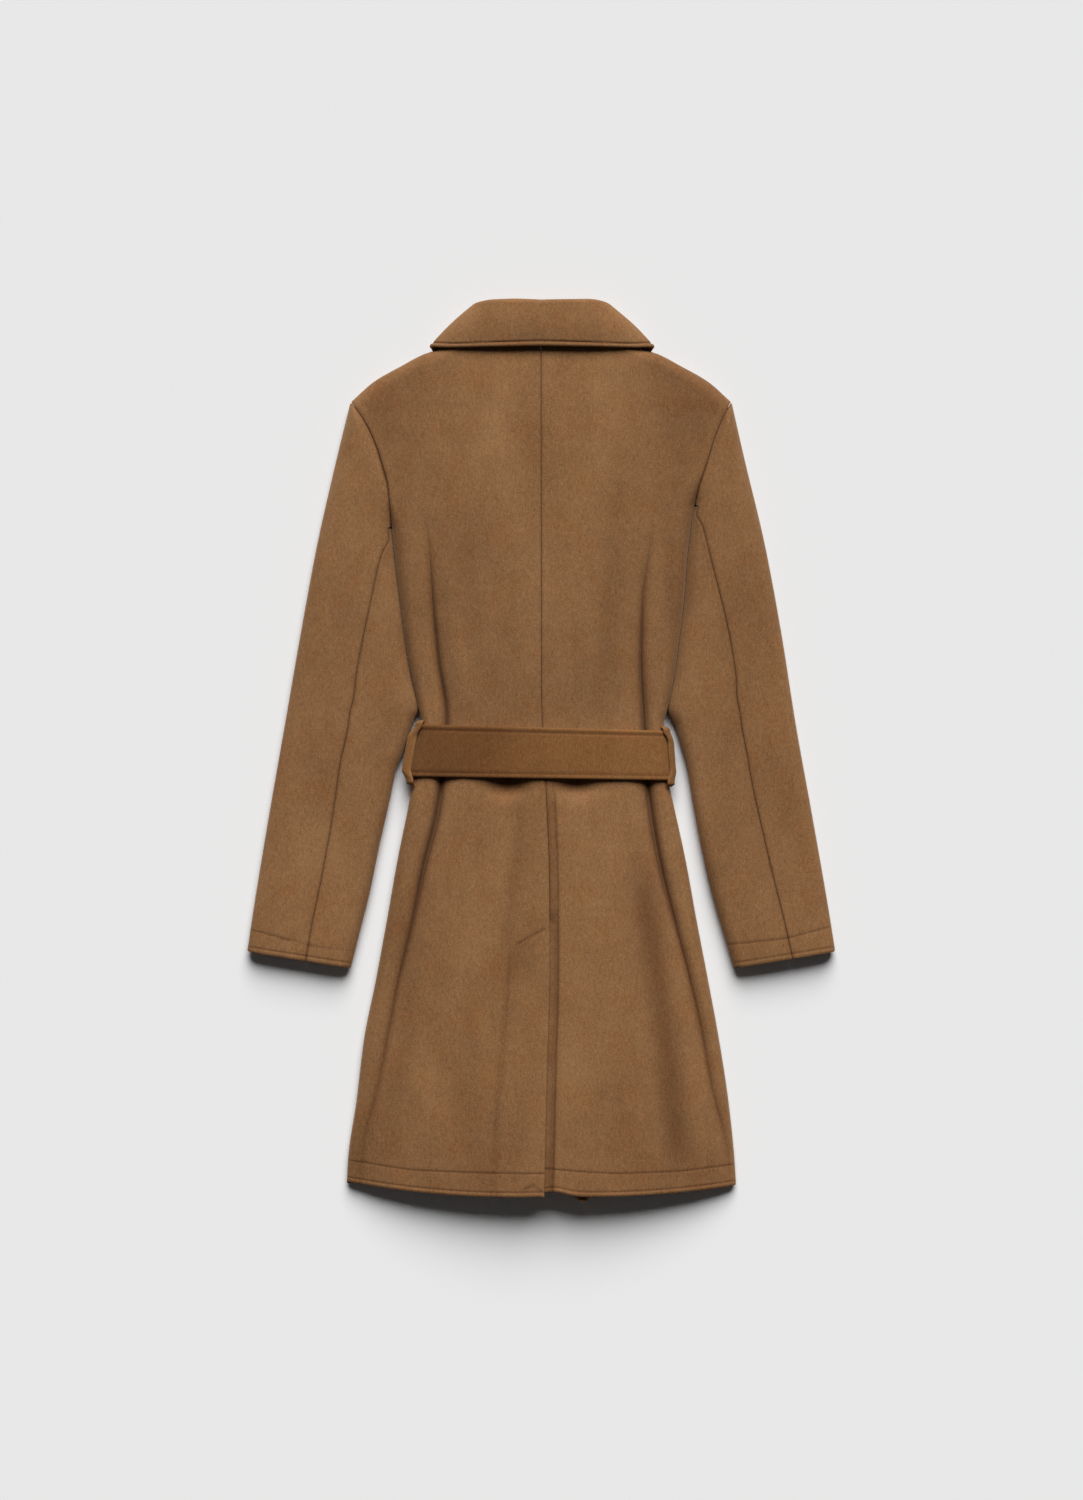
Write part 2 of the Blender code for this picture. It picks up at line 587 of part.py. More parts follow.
def add_sleeve(side):
    upper, under, widths = sleeve_grids(side)
    head = len(HEAD_STEPS)
    normals = grid_normals(upper) * -side
    ring = np.concatenate([upper[head:], under[:, 1:-1]], axis=1)
    ring_normals = grid_normals(ring, wrap=True) * -side
    normals[head:] = ring_normals[:, : upper.shape[1]]
    under_normals = np.concatenate([ring_normals[:, upper.shape[1] - 1 :], ring_normals[:, :1]], axis=1)
    leaning = armhole_sideways(side, sleeve_rows(side)[0])
    for column in (0, -1):
        across = np.sum(normals[:head, column, :2] * leaning, axis=-1)
        normals[:head, column, :2] -= np.maximum(across + 0.05, 0)[:, None] * leaning
    wall = CLOTH * smooth(widths / 14)[:, None, None]
    add_sleeve_piece(side, "upper", upper, upper - wall * unit(normals))
    add_sleeve_piece(side, "under", under, under - CLOTH * under_normals)


def add_sleeve_piece(side, part, skin, lining):
    skin, lining = narrowed(skin), narrowed(lining)
    if side > 0:
        skin, lining = skin[:, ::-1], lining[:, ::-1]
    add_sheet(f"sleeve_{side_name(side)}_{part}", skin, lining, COAT_COLOUR)


def narrowed(grid):
    """The same strip of points with a seam's share taken off each long edge, which runs aslant."""
    grid = grid.copy()
    grid[:, 0] += unit(grid[:, 1] - grid[:, 0]) * SEAM * 0.9
    grid[:, -1] += unit(grid[:, -2] - grid[:, -1]) * SEAM * 0.9
    return grid


def armhole_sideways(side, y):
    """Direction in plan from the body to the sleeve, square to the armhole at these heights."""
    name = side_name(side)
    slope = (reading(BODY_EDGE, name, np.clip(y + 1, 0, 376)) - reading(BODY_EDGE, name, y - 1)) / 2
    return unit(np.stack([np.full_like(slope, side), -side * slope], axis=-1))


def collar_station(at):
    """Seam, roll, edge, outward direction and fold radius at a place between two lines of the table."""
    k = min(int(at), len(COLLAR) - 2)
    s = at - k
    rows = [COLLAR[max(k - 1, 0)], COLLAR[k], COLLAR[k + 1], COLLAR[min(k + 2, len(COLLAR) - 1)]]
    values = []
    for field in CollarLine._fields:
        a, b, c, d = [np.array(getattr(row, field), float) for row in rows]
        value = 0.5 * (2 * b + (c - a) * s + (2 * a - 5 * b + 4 * c - d) * s**2 + (3 * b - a - 3 * c + d) * s**3)
        values.append(value)
    return values


def collar_profile(at, side):
    seam, turn, edge, out, radius = collar_station(at)
    out = unit(out)
    up = turn - edge
    up = unit(up - np.dot(up, out) * out)
    fall_top = turn + radius * out
    fall = [edge + (fall_top - edge) * s + out * 2.2 * np.sin(np.pi * s) for s in (0, 0.3, 0.6, 0.85)]
    angles = np.radians([0, 45, 90, 135, 180])
    fold = [turn + radius * (np.cos(a) * out + np.sin(a) * up) for a in angles]
    stand_top = fold[-1]
    stand = [stand_top + (seam - stand_top) * s for s in (0.35, 0.7, 1)]
    points = np.array(fall + fold + stand)
    spread_out = np.ones(len(points))
    if side > 0:
        spread_out[: -len(stand)] = 1.02
    points[:, 0] *= -side * spread_out
    return points


def add_collar():
    places = np.linspace(0, len(COLLAR) - 1, (len(COLLAR) - 1) * COLLAR_STEPS + 1)
    left = [collar_profile(at, -1) for at in places[::-1]]
    right = [collar_profile(at, 1) for at in places[1:]]
    middle = np.array(left + right)
    normals = grid_normals(middle)
    outer = middle + normals * COLLAR_CLOTH / 2
    inner = middle - normals * COLLAR_CLOTH / 2
    for grid in (outer, inner):
        grid[..., 2] = np.maximum(grid[..., 2], 0)
    return add_sheet("collar", outer, inner, COAT_COLOUR)


def belt_side(side, y_at, outward):
    """The belt round one side of the coat, from below to above: the cloth's points, moved out."""
    edge = float(reading(BODY_EDGE, side_name(side), y_at(140.0 * side)))
    y = y_at(edge)
    rim = float(reading(GIRTHS, "seam", y))
    radius = float(reading(GIRTHS, "round", y))
    under = np.concatenate([[22, 15], UNDER_ROUND * ROLLED])
    over = np.concatenate([radius * ROLLED[-2::-1], [18, 26]])
    x = edge - side * np.concatenate([under, over])
    low = rim + (BELT_LIFT - rim) * roll(under, UNDER_ROUND)
    high = rim + (top_height(x[len(under) :], y, side, folds=0) - rim) * roll(over, radius)
    line = np.column_stack([x, np.concatenate([low, high])])
    along = np.gradient(line, axis=0)
    out = unit(np.column_stack([along[:, 1], -along[:, 0]])) * side
    line = (line + out * (STACK + outward))[1:-1]
    line[:, 0] += side * BELT_SLACK * smooth((side * (line[:, 0] - edge) + 20) / 14)
    return np.column_stack([line[:, 0], y_at(line[:, 0]), line[:, 1]])


def belt_section(y_at, outward):
    """The belt's ring at one place across its width: round the coat, this far out from it."""
    right = belt_side(1, y_at, outward)
    left = belt_side(-1, y_at, outward)[::-1]
    low = BELT_LIFT - STACK - outward
    first = np.linspace(BELT_LAP[0], right[0, 0], 7)[:-1]
    across = np.linspace(right[-1, 0], left[0, 0], 14)[1:-1]
    last = np.concatenate([np.linspace(left[-1, 0], -88, 3)[1:], [-80, -72, -64, -56, -20, 15, BELT_LAP[1]]])
    sides = np.where(across < 0, -1, 1)
    over = [float(top_height(x, y_at(x), side, folds=0)) + STACK + outward for x, side in zip(across, sides)]
    climb = (BELT_CLOTH + STACK) * smooth((last + 88) / 32)
    stretches = [
        np.column_stack([first, y_at(first), np.full(len(first), low)]),
        right,
        np.column_stack([across, y_at(across), over]),
        left,
        np.column_stack([last, y_at(last), low + climb]),
    ]
    return np.concatenate(stretches)


def add_belt():
    rows_out, rows_in = [], []
    for s in np.linspace(0, 1, 5):
        left = BELT_BOTTOM[0] + (BELT_TOP[0] - BELT_BOTTOM[0]) * s
        right = BELT_BOTTOM[1] + (BELT_TOP[1] - BELT_BOTTOM[1]) * s

        def y_at(x, left=left, right=right):
            return left + (right - left) * (np.clip(x, -140, 140) + 140) / 280

        rows_out.append(belt_section(y_at, BELT_CLOTH))
        rows_in.append(belt_section(y_at, 0.0))
    outer, inner = np.array(rows_out), np.array(rows_in)
    return add_sheet("belt", outer[:, ::-1], inner[:, ::-1], BELT_COLOUR)


def add_loop(side):
    name = side_name(side)
    stations = []
    for y in np.linspace(LOOP_ENDS[0], LOOP_ENDS[1], 9):
        edge = float(reading(BODY_EDGE, name, y))
        over = smooth((LOOP_ENDS[0] + 2 - y) / 20) * smooth((y - LOOP_ENDS[1] + 2) / 20)
        stations.append((edge + side * (SEAM + over * (BELT_CLOTH + LOOP_ROOM)), y))
    line = np.array(stations)
    along = np.gradient(line, axis=0)
    normal = unit(np.stack([-side * along[:, 1], side * along[:, 0]], axis=-1))
    outer, inner = [], []
    for z in np.linspace(LOOP_BASE, LOOP_BASE + LOOP_WIDTH, 3):
        level = np.full((len(line), 1), z)
        outer.append(np.hstack([line + normal * LOOP_CLOTH, level]))
        inner.append(np.hstack([line, level]))
    outer, inner = np.array(outer), np.array(inner)
    if side > 0:
        outer, inner = outer[:, ::-1], inner[:, ::-1]
    return add_sheet("belt_loop_" + name, outer, inner, BELT_COLOUR)


def clear_scene():
    for item in list(bpy.data.objects):
        bpy.data.objects.remove(item, do_unlink=True)


def main():
    clear_scene()
    for side in (-1, 1):
        add_back(side)
        add_front(side)
        add_sleeve(side)
        add_loop(side)
    add_collar()
    add_belt()


main()
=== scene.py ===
# A belted wool coat, laid flat on its front with its back up, dressed over its CAD frame.
# X runs across the coat and +Y towards the collar. Lengths in the tables are millimetres.
from collections import namedtuple

import bpy
import numpy as np
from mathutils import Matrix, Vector
from mathutils.bvhtree import BVHTree


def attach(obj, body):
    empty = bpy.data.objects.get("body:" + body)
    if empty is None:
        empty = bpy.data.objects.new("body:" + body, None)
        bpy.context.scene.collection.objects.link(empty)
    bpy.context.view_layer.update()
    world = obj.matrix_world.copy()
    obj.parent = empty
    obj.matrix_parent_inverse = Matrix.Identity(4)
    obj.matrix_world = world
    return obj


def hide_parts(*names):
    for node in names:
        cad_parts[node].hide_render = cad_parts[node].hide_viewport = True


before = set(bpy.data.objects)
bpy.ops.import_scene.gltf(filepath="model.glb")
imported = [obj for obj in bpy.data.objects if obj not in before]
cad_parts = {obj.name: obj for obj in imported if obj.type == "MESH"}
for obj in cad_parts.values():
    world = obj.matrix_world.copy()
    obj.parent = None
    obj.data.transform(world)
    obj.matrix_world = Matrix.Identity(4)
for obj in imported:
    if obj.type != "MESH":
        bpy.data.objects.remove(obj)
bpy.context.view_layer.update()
bpy.ops.object.select_all(action="DESELECT")

mm = 0.001
cloth = 2.5
beltCloth = 3.8
collarCloth = 3.0
seamGap = 0.3
stackGap = 0.4


def table(columns, *rows):
    Row = namedtuple("Row", columns)
    return [Row(*values) for values in rows]


# Shape of the coat. The values are close to the CAD pieces' own. The folds, the sleeves' inner line and
# back seam, and the collar's lower edge are fitted to the looks.
sideNeck = (77.0, 454.0)
shoulderPoint = (206.0, 376.0)
underarm = {"left": 238.0, "right": 262.0}
shoulderFrom = 262.0
wrap = 92.0
breakPoint = 139.0
shoulderRim = 7.0
shoulderRound = 13.0
underRound = 9.0
collarLift = 4.7
beltLift = 4.2
backHemRise = {"left": 14.0, "right": 10.0}
frontHemRise = 8.0
hemBelly = 5.0

bodyEdge = table(
    "y left right",
    (-472, -210.8, 211.6),
    (-444, -209.3, 209.8),
    (-380, -200.0, 203.0),
    (-315, -192.0, 193.0),
    (-250, -179.0, 181.0),
    (-185, -167.0, 168.5),
    (-120, -155.5, 156.6),
    (-56, -142.6, 142.6),
    (-30, -138.6, 137.0),
    (0, -133.4, 134.4),
    (26, -129.6, 133.2),
    (43, -132.4, 137.0),
    (73, -139.4, 143.4),
    (103, -145.2, 147.6),
    (164, -153.2, 155.2),
    (202, -158.0, 158.0),
    (238, -161.5, 162.0),
    (285, -165.5, 171.0),
    (309, -172.0, 179.0),
    (333, -180.0, 186.4),
    (355, -191.0, 195.2),
    (376, -206.0, 206.0),
)
sleeveOuter = table(
    "y left right",
    (376, -206.6, 206.6),
    (317, -221.0, 220.0),
    (220, -243.0, 243.0),
    (123, -261.0, 261.0),
    (25, -278.0, 276.5),
    (-72, -295.0, 294.0),
    (-169, -311.0, 311.0),
    (-219, -318.6, 319.0),
)
sleeveInner = table(
    "y left right",
    (262, -164.0, 166.0),
    (238, -161.7, 162.2),
    (202, -158.2, 158.2),
    (164, -153.4, 155.4),
    (103, -145.4, 147.8),
    (73, -139.6, 143.6),
    (43, -132.8, 137.4),
    (34, -136.4, 140.2),
    (26, -139.4, 144.6),
    (9, -144.6, 149.6),
    (-7, -150.4, 154.4),
    (-23, -157.0, 158.4),
    (-56, -164.0, 164.0),
    (-104, -175.0, 173.0),
    (-153, -185.0, 184.0),
    (-201, -197.0, 198.0),
    (-239, -206.5, 209.5),
)
topEdge = table(
    "x y rim",
    (0, 443.0, 22.3),
    (40, 446.0, 21.6),
    (62, 450.0, 17.0),
    (77, 454.0, 9.4),
    (104, 436.0, 9.2),
    (116, 431.0, 9.0),
    (125, 428.4, 9.0),
    (153, 414.0, 8.6),
    (181, 398.0, 8.0),
    (206, 376.0, 7.0),
)
girths = table(
    "y middle side seam round",  # heights of the middle, side roll and side seam, and the roll's radius
    (-484, 40.0, 12.0, 5.5, 9.0),
    (-400, 38.0, 16.0, 6.5, 10.0),
    (-250, 35.0, 19.0, 8.0, 12.0),
    (-120, 32.0, 21.0, 10.0, 12.0),
    (-40, 29.5, 22.5, 12.5, 10.0),
    (30, 28.5, 22.5, 12.5, 10.0),
    (90, 31.5, 23.0, 11.0, 12.0),
    (170, 34.5, 24.0, 10.0, 13.0),
    (238, 35.5, 24.5, 9.5, 14.0),
    (300, 33.5, 24.0, 9.0, 24.0),
    (376, 29.0, 19.0, 8.0, 24.0),
    (443, 22.3, 14.0, 7.0, 24.0),
)
valleys = table(
    "y left right depthLeft depthRight",  # the sharp fold beside each side roll
    (-484, -198, 206, 1.5, 1.5),
    (-439, -194, 202, 2.4, 2.6),
    (-367, -177, 185, 3.4, 3.8),
    (-312, -166, 175, 4.2, 4.6),
    (-254, -155, 162, 5.0, 5.4),
    (-196, -141, 147, 6.2, 6.2),
    (-130, -127, 130, 7.6, 7.4),
    (-69, -112, 119, 9.0, 8.6),
    (-34, -107, 115, 9.6, 9.2),
    (31, -102, 111, 9.6, 9.2),
    (96, -111, 108, 8.0, 7.5),
    (160, -117, 110, 5.0, 4.6),
    (215, -121, 118, 2.4, 2.2),
    (274, -128, 124, 0.0, 0.0),
    (443, -128, 124, 0.0, 0.0),
)
dips = table(
    "x y wide tall depth",  # hollows where the skirt falls away under the belt, and soft bands in the skirt
    (-36, -40, 20, 13, 7.5),
    (38, -40, 20, 13, 7.5),
    (128, -240, 17, 130, 2.6),
    (-22, -110, 8, 60, 1.4),
)
streaks = table(
    "x y lean wide tall dark",  # soft upright shadows in the cloth
    (-28, -130, 0.10, 7, 90, 0.30),
    (74, 150, 0.06, 13, 95, 0.18),
    (-75, 190, -0.05, 15, 100, 0.13),
    (-146, 200, -0.02, 9, 60, 0.22),
    (140, 175, -0.03, 8, 60, 0.22),
    (-150, -330, 0.16, 10, 110, 0.20),
    (12, 90, 0.0, 9, 60, 0.10),
)
centreBack = table(
    "y x under",  # the seam, and how far the right panel reaches under the left one in the vent
    (-484, 3.6, -49.0),
    (-353, 6.5, -43.0),
    (-237, 9.3, -34.0),
    (-212, 9.3, -29.0),
    (-192, 9.3, 9.3),
    (-164, 9.3, 9.3),
    (-34, 5.0, 5.0),
    (60, 0.5, 0.5),
    (443, 0.0, 0.0),
)
ventTop = -192.0
sleeveLines = table(
    "y crown backLeft backRight",  # crown height, and how far across the back seam runs from the inner edge
    (376, 24.0, 0.0, 0.0),
    (300, 26.5, 0.0, 0.0),
    (262, 27.0, 0.0, 0.0),
    (238, 27.0, 0.0, 0.17),
    (206, 27.0, 0.17, 0.28),
    (164, 26.5, 0.295, 0.39),
    (109, 25.5, 0.41, 0.50),
    (59, 24.4, 0.490, 0.553),
    (39, 24.0, 0.507, 0.560),
    (22, 23.7, 0.497, 0.546),
    (9, 23.5, 0.489, 0.538),
    (-39, 22.5, 0.469, 0.53),
    (-110, 21.5, 0.444, 0.55),
    (-190, 21.0, 0.444, 0.57),
    (-239, 21.0, 0.43, 0.575),
)
cuffLine = -238.0
sleeveEdge = 8.5
sleeveRound = 13.0
sleeveUnderRound = 8.0
forearmSeam = 0.14
collarLines = table(
    "seam roll edge out radius",  # from the centre back to the end on the front
    ((0, 443.8, 20.8), (-1, 479.6, 24), (0, 434.6, 29.4), (0, 0, 1), 4.5),
    ((-40, 446.9, 20.1), (-37, 480.6, 24), (-58, 433.6, 28.6), (0, 0, 1), 4.5),
    ((-62, 451.2, 15.6), (-60, 480.2, 21), (-98, 433.2, 24), (-0.25, 0.25, 0.94), 4.5),
    ((-77.6, 455.8, 9.4), (-72, 475.0, 14), (-118.4, 434.6, 15), (-0.7, 0.7, 0), 4.0),
    ((-75.6, 453.4, 7.4), (-69.0, 471.0, 9.2), (-118.6, 432.8, 8.0), (-0.6, 0.6, -0.5), 3.4),
    ((-73.0, 449.4, 6.3), (-64, 465.0, 5.6), (-114, 425.0, 2.5), (-0.3, 0.3, -0.9), 2.8),
    ((-59.8, 424.6, 5.95), (-47.8, 431.0, 3.8), (-99, 392.6, 1.5), (0, 0, -1), 2.3),
    ((-44.2, 394.6, 5.95), (-38.2, 397.7, 3.8), (-87.8, 360.5, 1.5), (0, 0, -1), 2.3),
)
beltTop = (26.5, 19.0)
beltBottom = (-30.5, -34.5)
beltLap = (-50.0, 50.0)
beltSlack = 0.6


# Curves and small helpers.
def reading(rows, column, at):  # a column's value at each place, on a curve that never overshoots the rows
    rows = sorted(rows, key=lambda row: row[0])
    places = np.array([row[0] for row in rows], float)
    values = np.array([getattr(row, column) for row in rows], float)
    steps = np.diff(places)
    slopes = np.diff(values) / steps
    product = slopes[1:] * slopes[:-1]
    total = np.where(product > 0, slopes[1:] + slopes[:-1], 1.0)
    tangents = np.concatenate([slopes[:1], np.where(product > 0, 2 * product / total, 0), slopes[-1:]])
    at = np.asarray(at, float)
    k = np.clip(np.searchsorted(places, at) - 1, 0, len(steps) - 1)
    s = np.clip((at - places[k]) / steps[k], 0, 1)
    rise = values[k + 1] - values[k]
    bend = s * (1 - s) * steps[k]
    return values[k] + rise * s * s * (3 - 2 * s) + bend * ((1 - s) * tangents[k] - s * tangents[k + 1])


def smooth(x):
    x = np.clip(x, 0, 1)
    return x * x * (3 - 2 * x)


def roll(distance, radius):  # how far a rounded edge has risen at this distance from it
    reach = np.clip(distance / radius, 0, 1)
    return np.sqrt(1 - (1 - reach) ** 2)


def hump(x, width):
    return np.exp(-((x / width) ** 2))


def crease(x, width):  # sharp at its bottom, unlike a hump
    return np.exp(-np.abs(x) / width)


def meet(height, rim, distance, radius):  # brings a height down to a rim over a rounded edge
    return rim + (height - rim) * roll(distance, radius)


def sideName(side):
    return "left" if side < 0 else "right"


def sideTitle(side):
    return sideName(side).capitalize()


def edgeX(side, y):
    return reading(bodyEdge, sideName(side), y)


def unit(vectors):
    return vectors / np.maximum(np.linalg.norm(vectors, axis=-1, keepdims=True), 1e-9)


def gridNormals(points, wrapRound=False):
    if wrapRound:
        across = np.roll(points, -1, axis=1) - np.roll(points, 1, axis=1)
    else:
        across = np.gradient(points, axis=1)
    return unit(np.cross(across, np.gradient(points, axis=0)))


def ripple(x, y, size, seed, stretch=1.0):  # slow unevenness of cloth, about -1 to 1
    draws = np.random.default_rng(seed)
    total = 0.0
    for _ in range(9):
        turn = draws.uniform(0, 2 * np.pi)
        phase = draws.uniform(0, 2 * np.pi)
        pitch = 2 * np.pi / (size * draws.uniform(0.7, 1.5))
        total = total + np.sin(pitch * (x * np.cos(turn) + y * np.sin(turn) / stretch) + phase)
    return total / 4


def spaced(places):  # evenly filled positions between places given as (position, steps up to it)
    out = [places[0][0]]
    for (start, _), (end, steps) in zip(places, places[1:]):
        out += list(np.linspace(start, end, steps + 1)[1:])
    return np.array(out, float)


rolledEdge = 1 - np.sin(np.linspace(0, np.pi / 2, 13))


# Shader maths.
class Value:  # wraps a socket, so that sums on it add Math nodes
    def __init__(self, graph, socket):
        self.graph = graph
        self.socket = socket

    def __add__(self, other):
        return self.graph.maths("ADD", self, other)

    __radd__ = __add__

    def __sub__(self, other):
        return self.graph.maths("SUBTRACT", self, other)

    def __rsub__(self, other):
        return self.graph.maths("SUBTRACT", other, self)

    def __mul__(self, other):
        return self.graph.maths("MULTIPLY", self, other)

    __rmul__ = __mul__


class Graph:
    def __init__(self, name):
        self.material = bpy.data.materials.new(name)
        self.material.use_nodes = True
        self.tree = self.material.node_tree
        self.shader = self.tree.nodes["Principled BSDF"]
        self.place = self.node("ShaderNodeTexCoord", {}, {}, 3)

    def node(self, kind, settings, sockets, out=0):
        made = self.tree.nodes.new(kind)
        for key, value in settings.items():
            if key == "stops":
                for _ in range(len(value) - 2):
                    made.color_ramp.elements.new(0.5)
                for element, (place, colour) in zip(made.color_ramp.elements, value):
                    element.position = place
                    element.color = colour
            else:
                setattr(made, key, value)
        for key, value in sockets.items():
            self.feed(made.inputs[key], value)
        return Value(self, made.outputs[out])

    def feed(self, socket, value):
        if isinstance(value, Value):
            self.tree.links.new(value.socket, socket)
        else:
            socket.default_value = value

    def maths(self, operation, a, b):
        return self.node("ShaderNodeMath", {"operation": operation}, {0: a, 1: b})

    def mix(self, share, a, b, blend="MIX"):
        settings = {"data_type": "RGBA", "blend_type": blend}
        return self.node("ShaderNodeMix", settings, {"Factor": share, 6: a, 7: b}, 2)

    def noise(self, place, scale, detail=2.0, rough=0.5):
        sockets = {"Vector": place, "Scale": scale, "Detail": detail, "Roughness": rough}
        return self.node("ShaderNodeTexNoise", {}, sockets)

    def finish(self, inputs):  # feeds the surface
        for key, value in inputs.items():
            self.feed(self.shader.inputs[key], value)
        return self.material


wool = {
    # dark, middle and light fibres
    "coat": [(0.120, 0.052, 0.018, 1), (0.224, 0.109, 0.043, 1), (0.330, 0.178, 0.080, 1)],
    "belt": [(0.110, 0.043, 0.011, 1), (0.195, 0.084, 0.025, 1), (0.285, 0.142, 0.052, 1)],
    "surface": {
        "Sheen Weight": 0.33,
        "Sheen Roughness": 0.45,
        "Sheen Tint": (0.80, 0.55, 0.34, 1),
        "Specular IOR Level": 0.2,
    },
    "grain": 1500.0,  # fibres, per metre
    "clumps": 420.0,  # tufts of the nap
    "patches": 19.0,  # brushed areas
    "warmth": 36.0,  # where the dye looks redder
    "redder": (1.0, 0.90, 0.80, 1),
    "shadow": (0.42, 0.33, 0.25, 1),  # what the shade at the bottom of a fold leaves of the colour
    "contrast": 3.3,  # of single specks
    "speckShare": 0.66,
    "patchShare": 0.64,
    "darker": 0.155,
    "nap": {"Strength": 0.35, "Distance": 0.0008},
}


def woolMaterial(name, tones):
    graph = Graph(name)
    stretched = {"Vector": graph.place, "Scale": (1.0, 0.42, 1.0)}  # the nap is brushed down the coat
    along = graph.node("ShaderNodeMapping", {}, stretched)
    grain = graph.noise(along, wool["grain"], 2.0, 0.6)
    tufts = graph.noise(along, wool["clumps"], 3.0, 0.62)
    patches = graph.noise(along, wool["patches"], 3.0, 0.55)
    shade = graph.node("ShaderNodeAttribute", {"attribute_name": "shade"}, {}, 2)
    warmth = graph.noise(graph.place, wool["warmth"], 2.0, 0.6)
    speck = (grain * 0.66 + tufts * 0.34 - 0.5) * wool["contrast"] + 0.5
    ramp = {"stops": list(zip((0.0, 0.5, 1.0), tones))}
    tone = speck * wool["speckShare"] + patches * wool["patchShare"] - wool["darker"]
    colour = graph.node("ShaderNodeValToRGB", ramp, {"Fac": tone})
    colour = graph.mix((warmth - 0.47) * 3.0, colour, wool["redder"], "MULTIPLY")
    # painted shade: the shade attribute darkens the colour towards the shadow colour
    colour = graph.mix(shade, colour, wool["shadow"], "MULTIPLY")
    height = grain * 0.35 + tufts * 0.65
    inputs = {"Base Color": colour, "Roughness": 0.86 + tufts * 0.12, **wool["surface"]}
    inputs["Normal"] = graph.node("ShaderNodeBump", {}, {**wool["nap"], "Height": height})
    return graph.finish(inputs)


def threadMaterial(name, colour):
    graph = Graph(name)
    twist = graph.mix(graph.noise(graph.place, 900.0, 1.0), tuple(c * 0.6 for c in colour[:3]) + (1,), colour)
    return graph.finish({"Base Color": twist, "Roughness": 0.75, "Sheen Weight": 0.15})


coatWool = woolMaterial("coatWool", wool["coat"])
beltWool = woolMaterial("beltWool", wool["belt"])
coatThread = threadMaterial("coatThread", (0.075, 0.036, 0.014, 1))
print("materials made")


# Cloth from two grids of points.
def softenEdge(outer, inner, edge):  # rounds a cut edge of the cloth over its last lines of points
    shares = (0.40, 0.16, 0.05)
    for k, share in enumerate(shares):
        index = {"first": (k,), "last": (-1 - k,), "start": (slice(None), k)}[edge]
        gap = inner[index] - outer[index]
        outer[index] += gap * share
        inner[index] -= gap * share


def surfaceOf(grid):
    rows, columns = grid.shape[:2]
    index = np.arange(rows * columns).reshape(rows, columns)
    quads = np.stack([index[:-1, :-1], index[:-1, 1:], index[1:, 1:], index[1:, :-1]], axis=-1)
    return BVHTree.FromPolygons(grid.reshape(-1, 3).tolist(), quads.reshape(-1, 4).tolist())


hemStitch = {"pitch": 3.6, "long": 2.5, "inset": 1.0, "wide": 0.30, "high": 0.28}
aboveAll = 90.0


def stitchRow(surface, line):  # short raised stitches along a line in plan, laid on the cloth
    line = np.array(line, float)
    lengths = np.concatenate([[0], np.cumsum(np.linalg.norm(np.diff(line, axis=0), axis=1))])
    long, wide, high = hemStitch["long"], hemStitch["wide"], hemStitch["high"]
    starts = np.arange(hemStitch["inset"], lengths[-1] - long, hemStitch["pitch"])
    lift = np.array([0, 0, 1.0])
    points, quads = [], []
    for start in starts:
        ring = []
        for at in (start, start + long / 2, start + long):
            x, y = [np.interp(at, lengths, line[:, i]) for i in (0, 1)]
            ring.append(surface.ray_cast(Vector((x, y, aboveAll)), Vector((0, 0, -1)))[0])
        if any(point is None for point in ring):
            continue
        ring = np.array([tuple(p) for p in ring])
        ahead = unit(ring[2] - ring[0])
        across = unit(np.cross(ahead, lift))
        first = len(points)
        for k, swell in enumerate((0.35, 1.0, 0.35)):
            centre = ring[k] + lift * (high * (-0.5 if k != 1 else 0.3))
            for turn in (0, 90, 180, 270):
                a = np.radians(turn)
                points.append(centre + swell * (across * wide * np.cos(a) + lift * high * np.sin(a)))
        for k in range(2):
            for j in range(4):
                a, b = first + 4 * k + j, first + 4 * k + (j + 1) % 4
                quads.append((a, b, b + 4, a + 4))
        quads.append((first + 3, first + 2, first + 1, first))
        quads.append((first + 8, first + 9, first + 10, first + 11))
    return points, quads


def addSheet(name, outer, inner, wallWool, shade=None, stitches=(), flip=False):
    if shade is None:
        shade = np.zeros(outer.shape[:2])
    if flip:
        outer, inner, shade = outer[:, ::-1], inner[:, ::-1], shade[:, ::-1]
    rows, columns = outer.shape[:2]
    points = np.concatenate([outer.reshape(-1, 3), inner.reshape(-1, 3)])
    first = rows * columns
    grid = np.arange(first).reshape(rows, columns)
    a, b, c, d = grid[:-1, :-1], grid[:-1, 1:], grid[1:, 1:], grid[1:, :-1]
    top = np.stack([a, b, c, d], axis=-1).reshape(-1, 4)
    under = first + np.stack([a, d, c, b], axis=-1).reshape(-1, 4)
    border = np.concatenate([grid[0], grid[1:, -1], grid[-1, -2::-1], grid[-2:0:-1, 0]])
    after = np.roll(border, -1)
    rim = np.stack([after, border, first + border, first + after], axis=-1)
    quads = np.concatenate([top, under, rim]).tolist()
    clothFaces = len(quads)
    allPoints = points.tolist()
    for extraPoints, extraQuads in stitches:
        base = len(allPoints)
        allPoints += [tuple(p) for p in extraPoints]
        quads += [tuple(base + i for i in quad) for quad in extraQuads]
    mesh = bpy.data.meshes.new(name)
    mesh.from_pydata((np.array(allPoints) * mm).tolist(), [], quads)
    mesh.shade_smooth()
    for material in (wallWool, coatThread):
        mesh.materials.append(material)
    slots = np.zeros(len(quads), np.int32)
    slots[clothFaces:] = 1
    mesh.polygons.foreach_set("material_index", slots)
    attribute = mesh.attributes.new("shade", "FLOAT", "POINT")
    shades = np.zeros(len(allPoints), np.float32)
    shades[:first] = shade.reshape(-1)
    attribute.data.foreach_set("value", shades)
    mesh.set_sharp_from_angle(angle=1.0)
    piece = bpy.data.objects.new(name, mesh)
    bpy.context.scene.collection.objects.link(piece)
    return piece


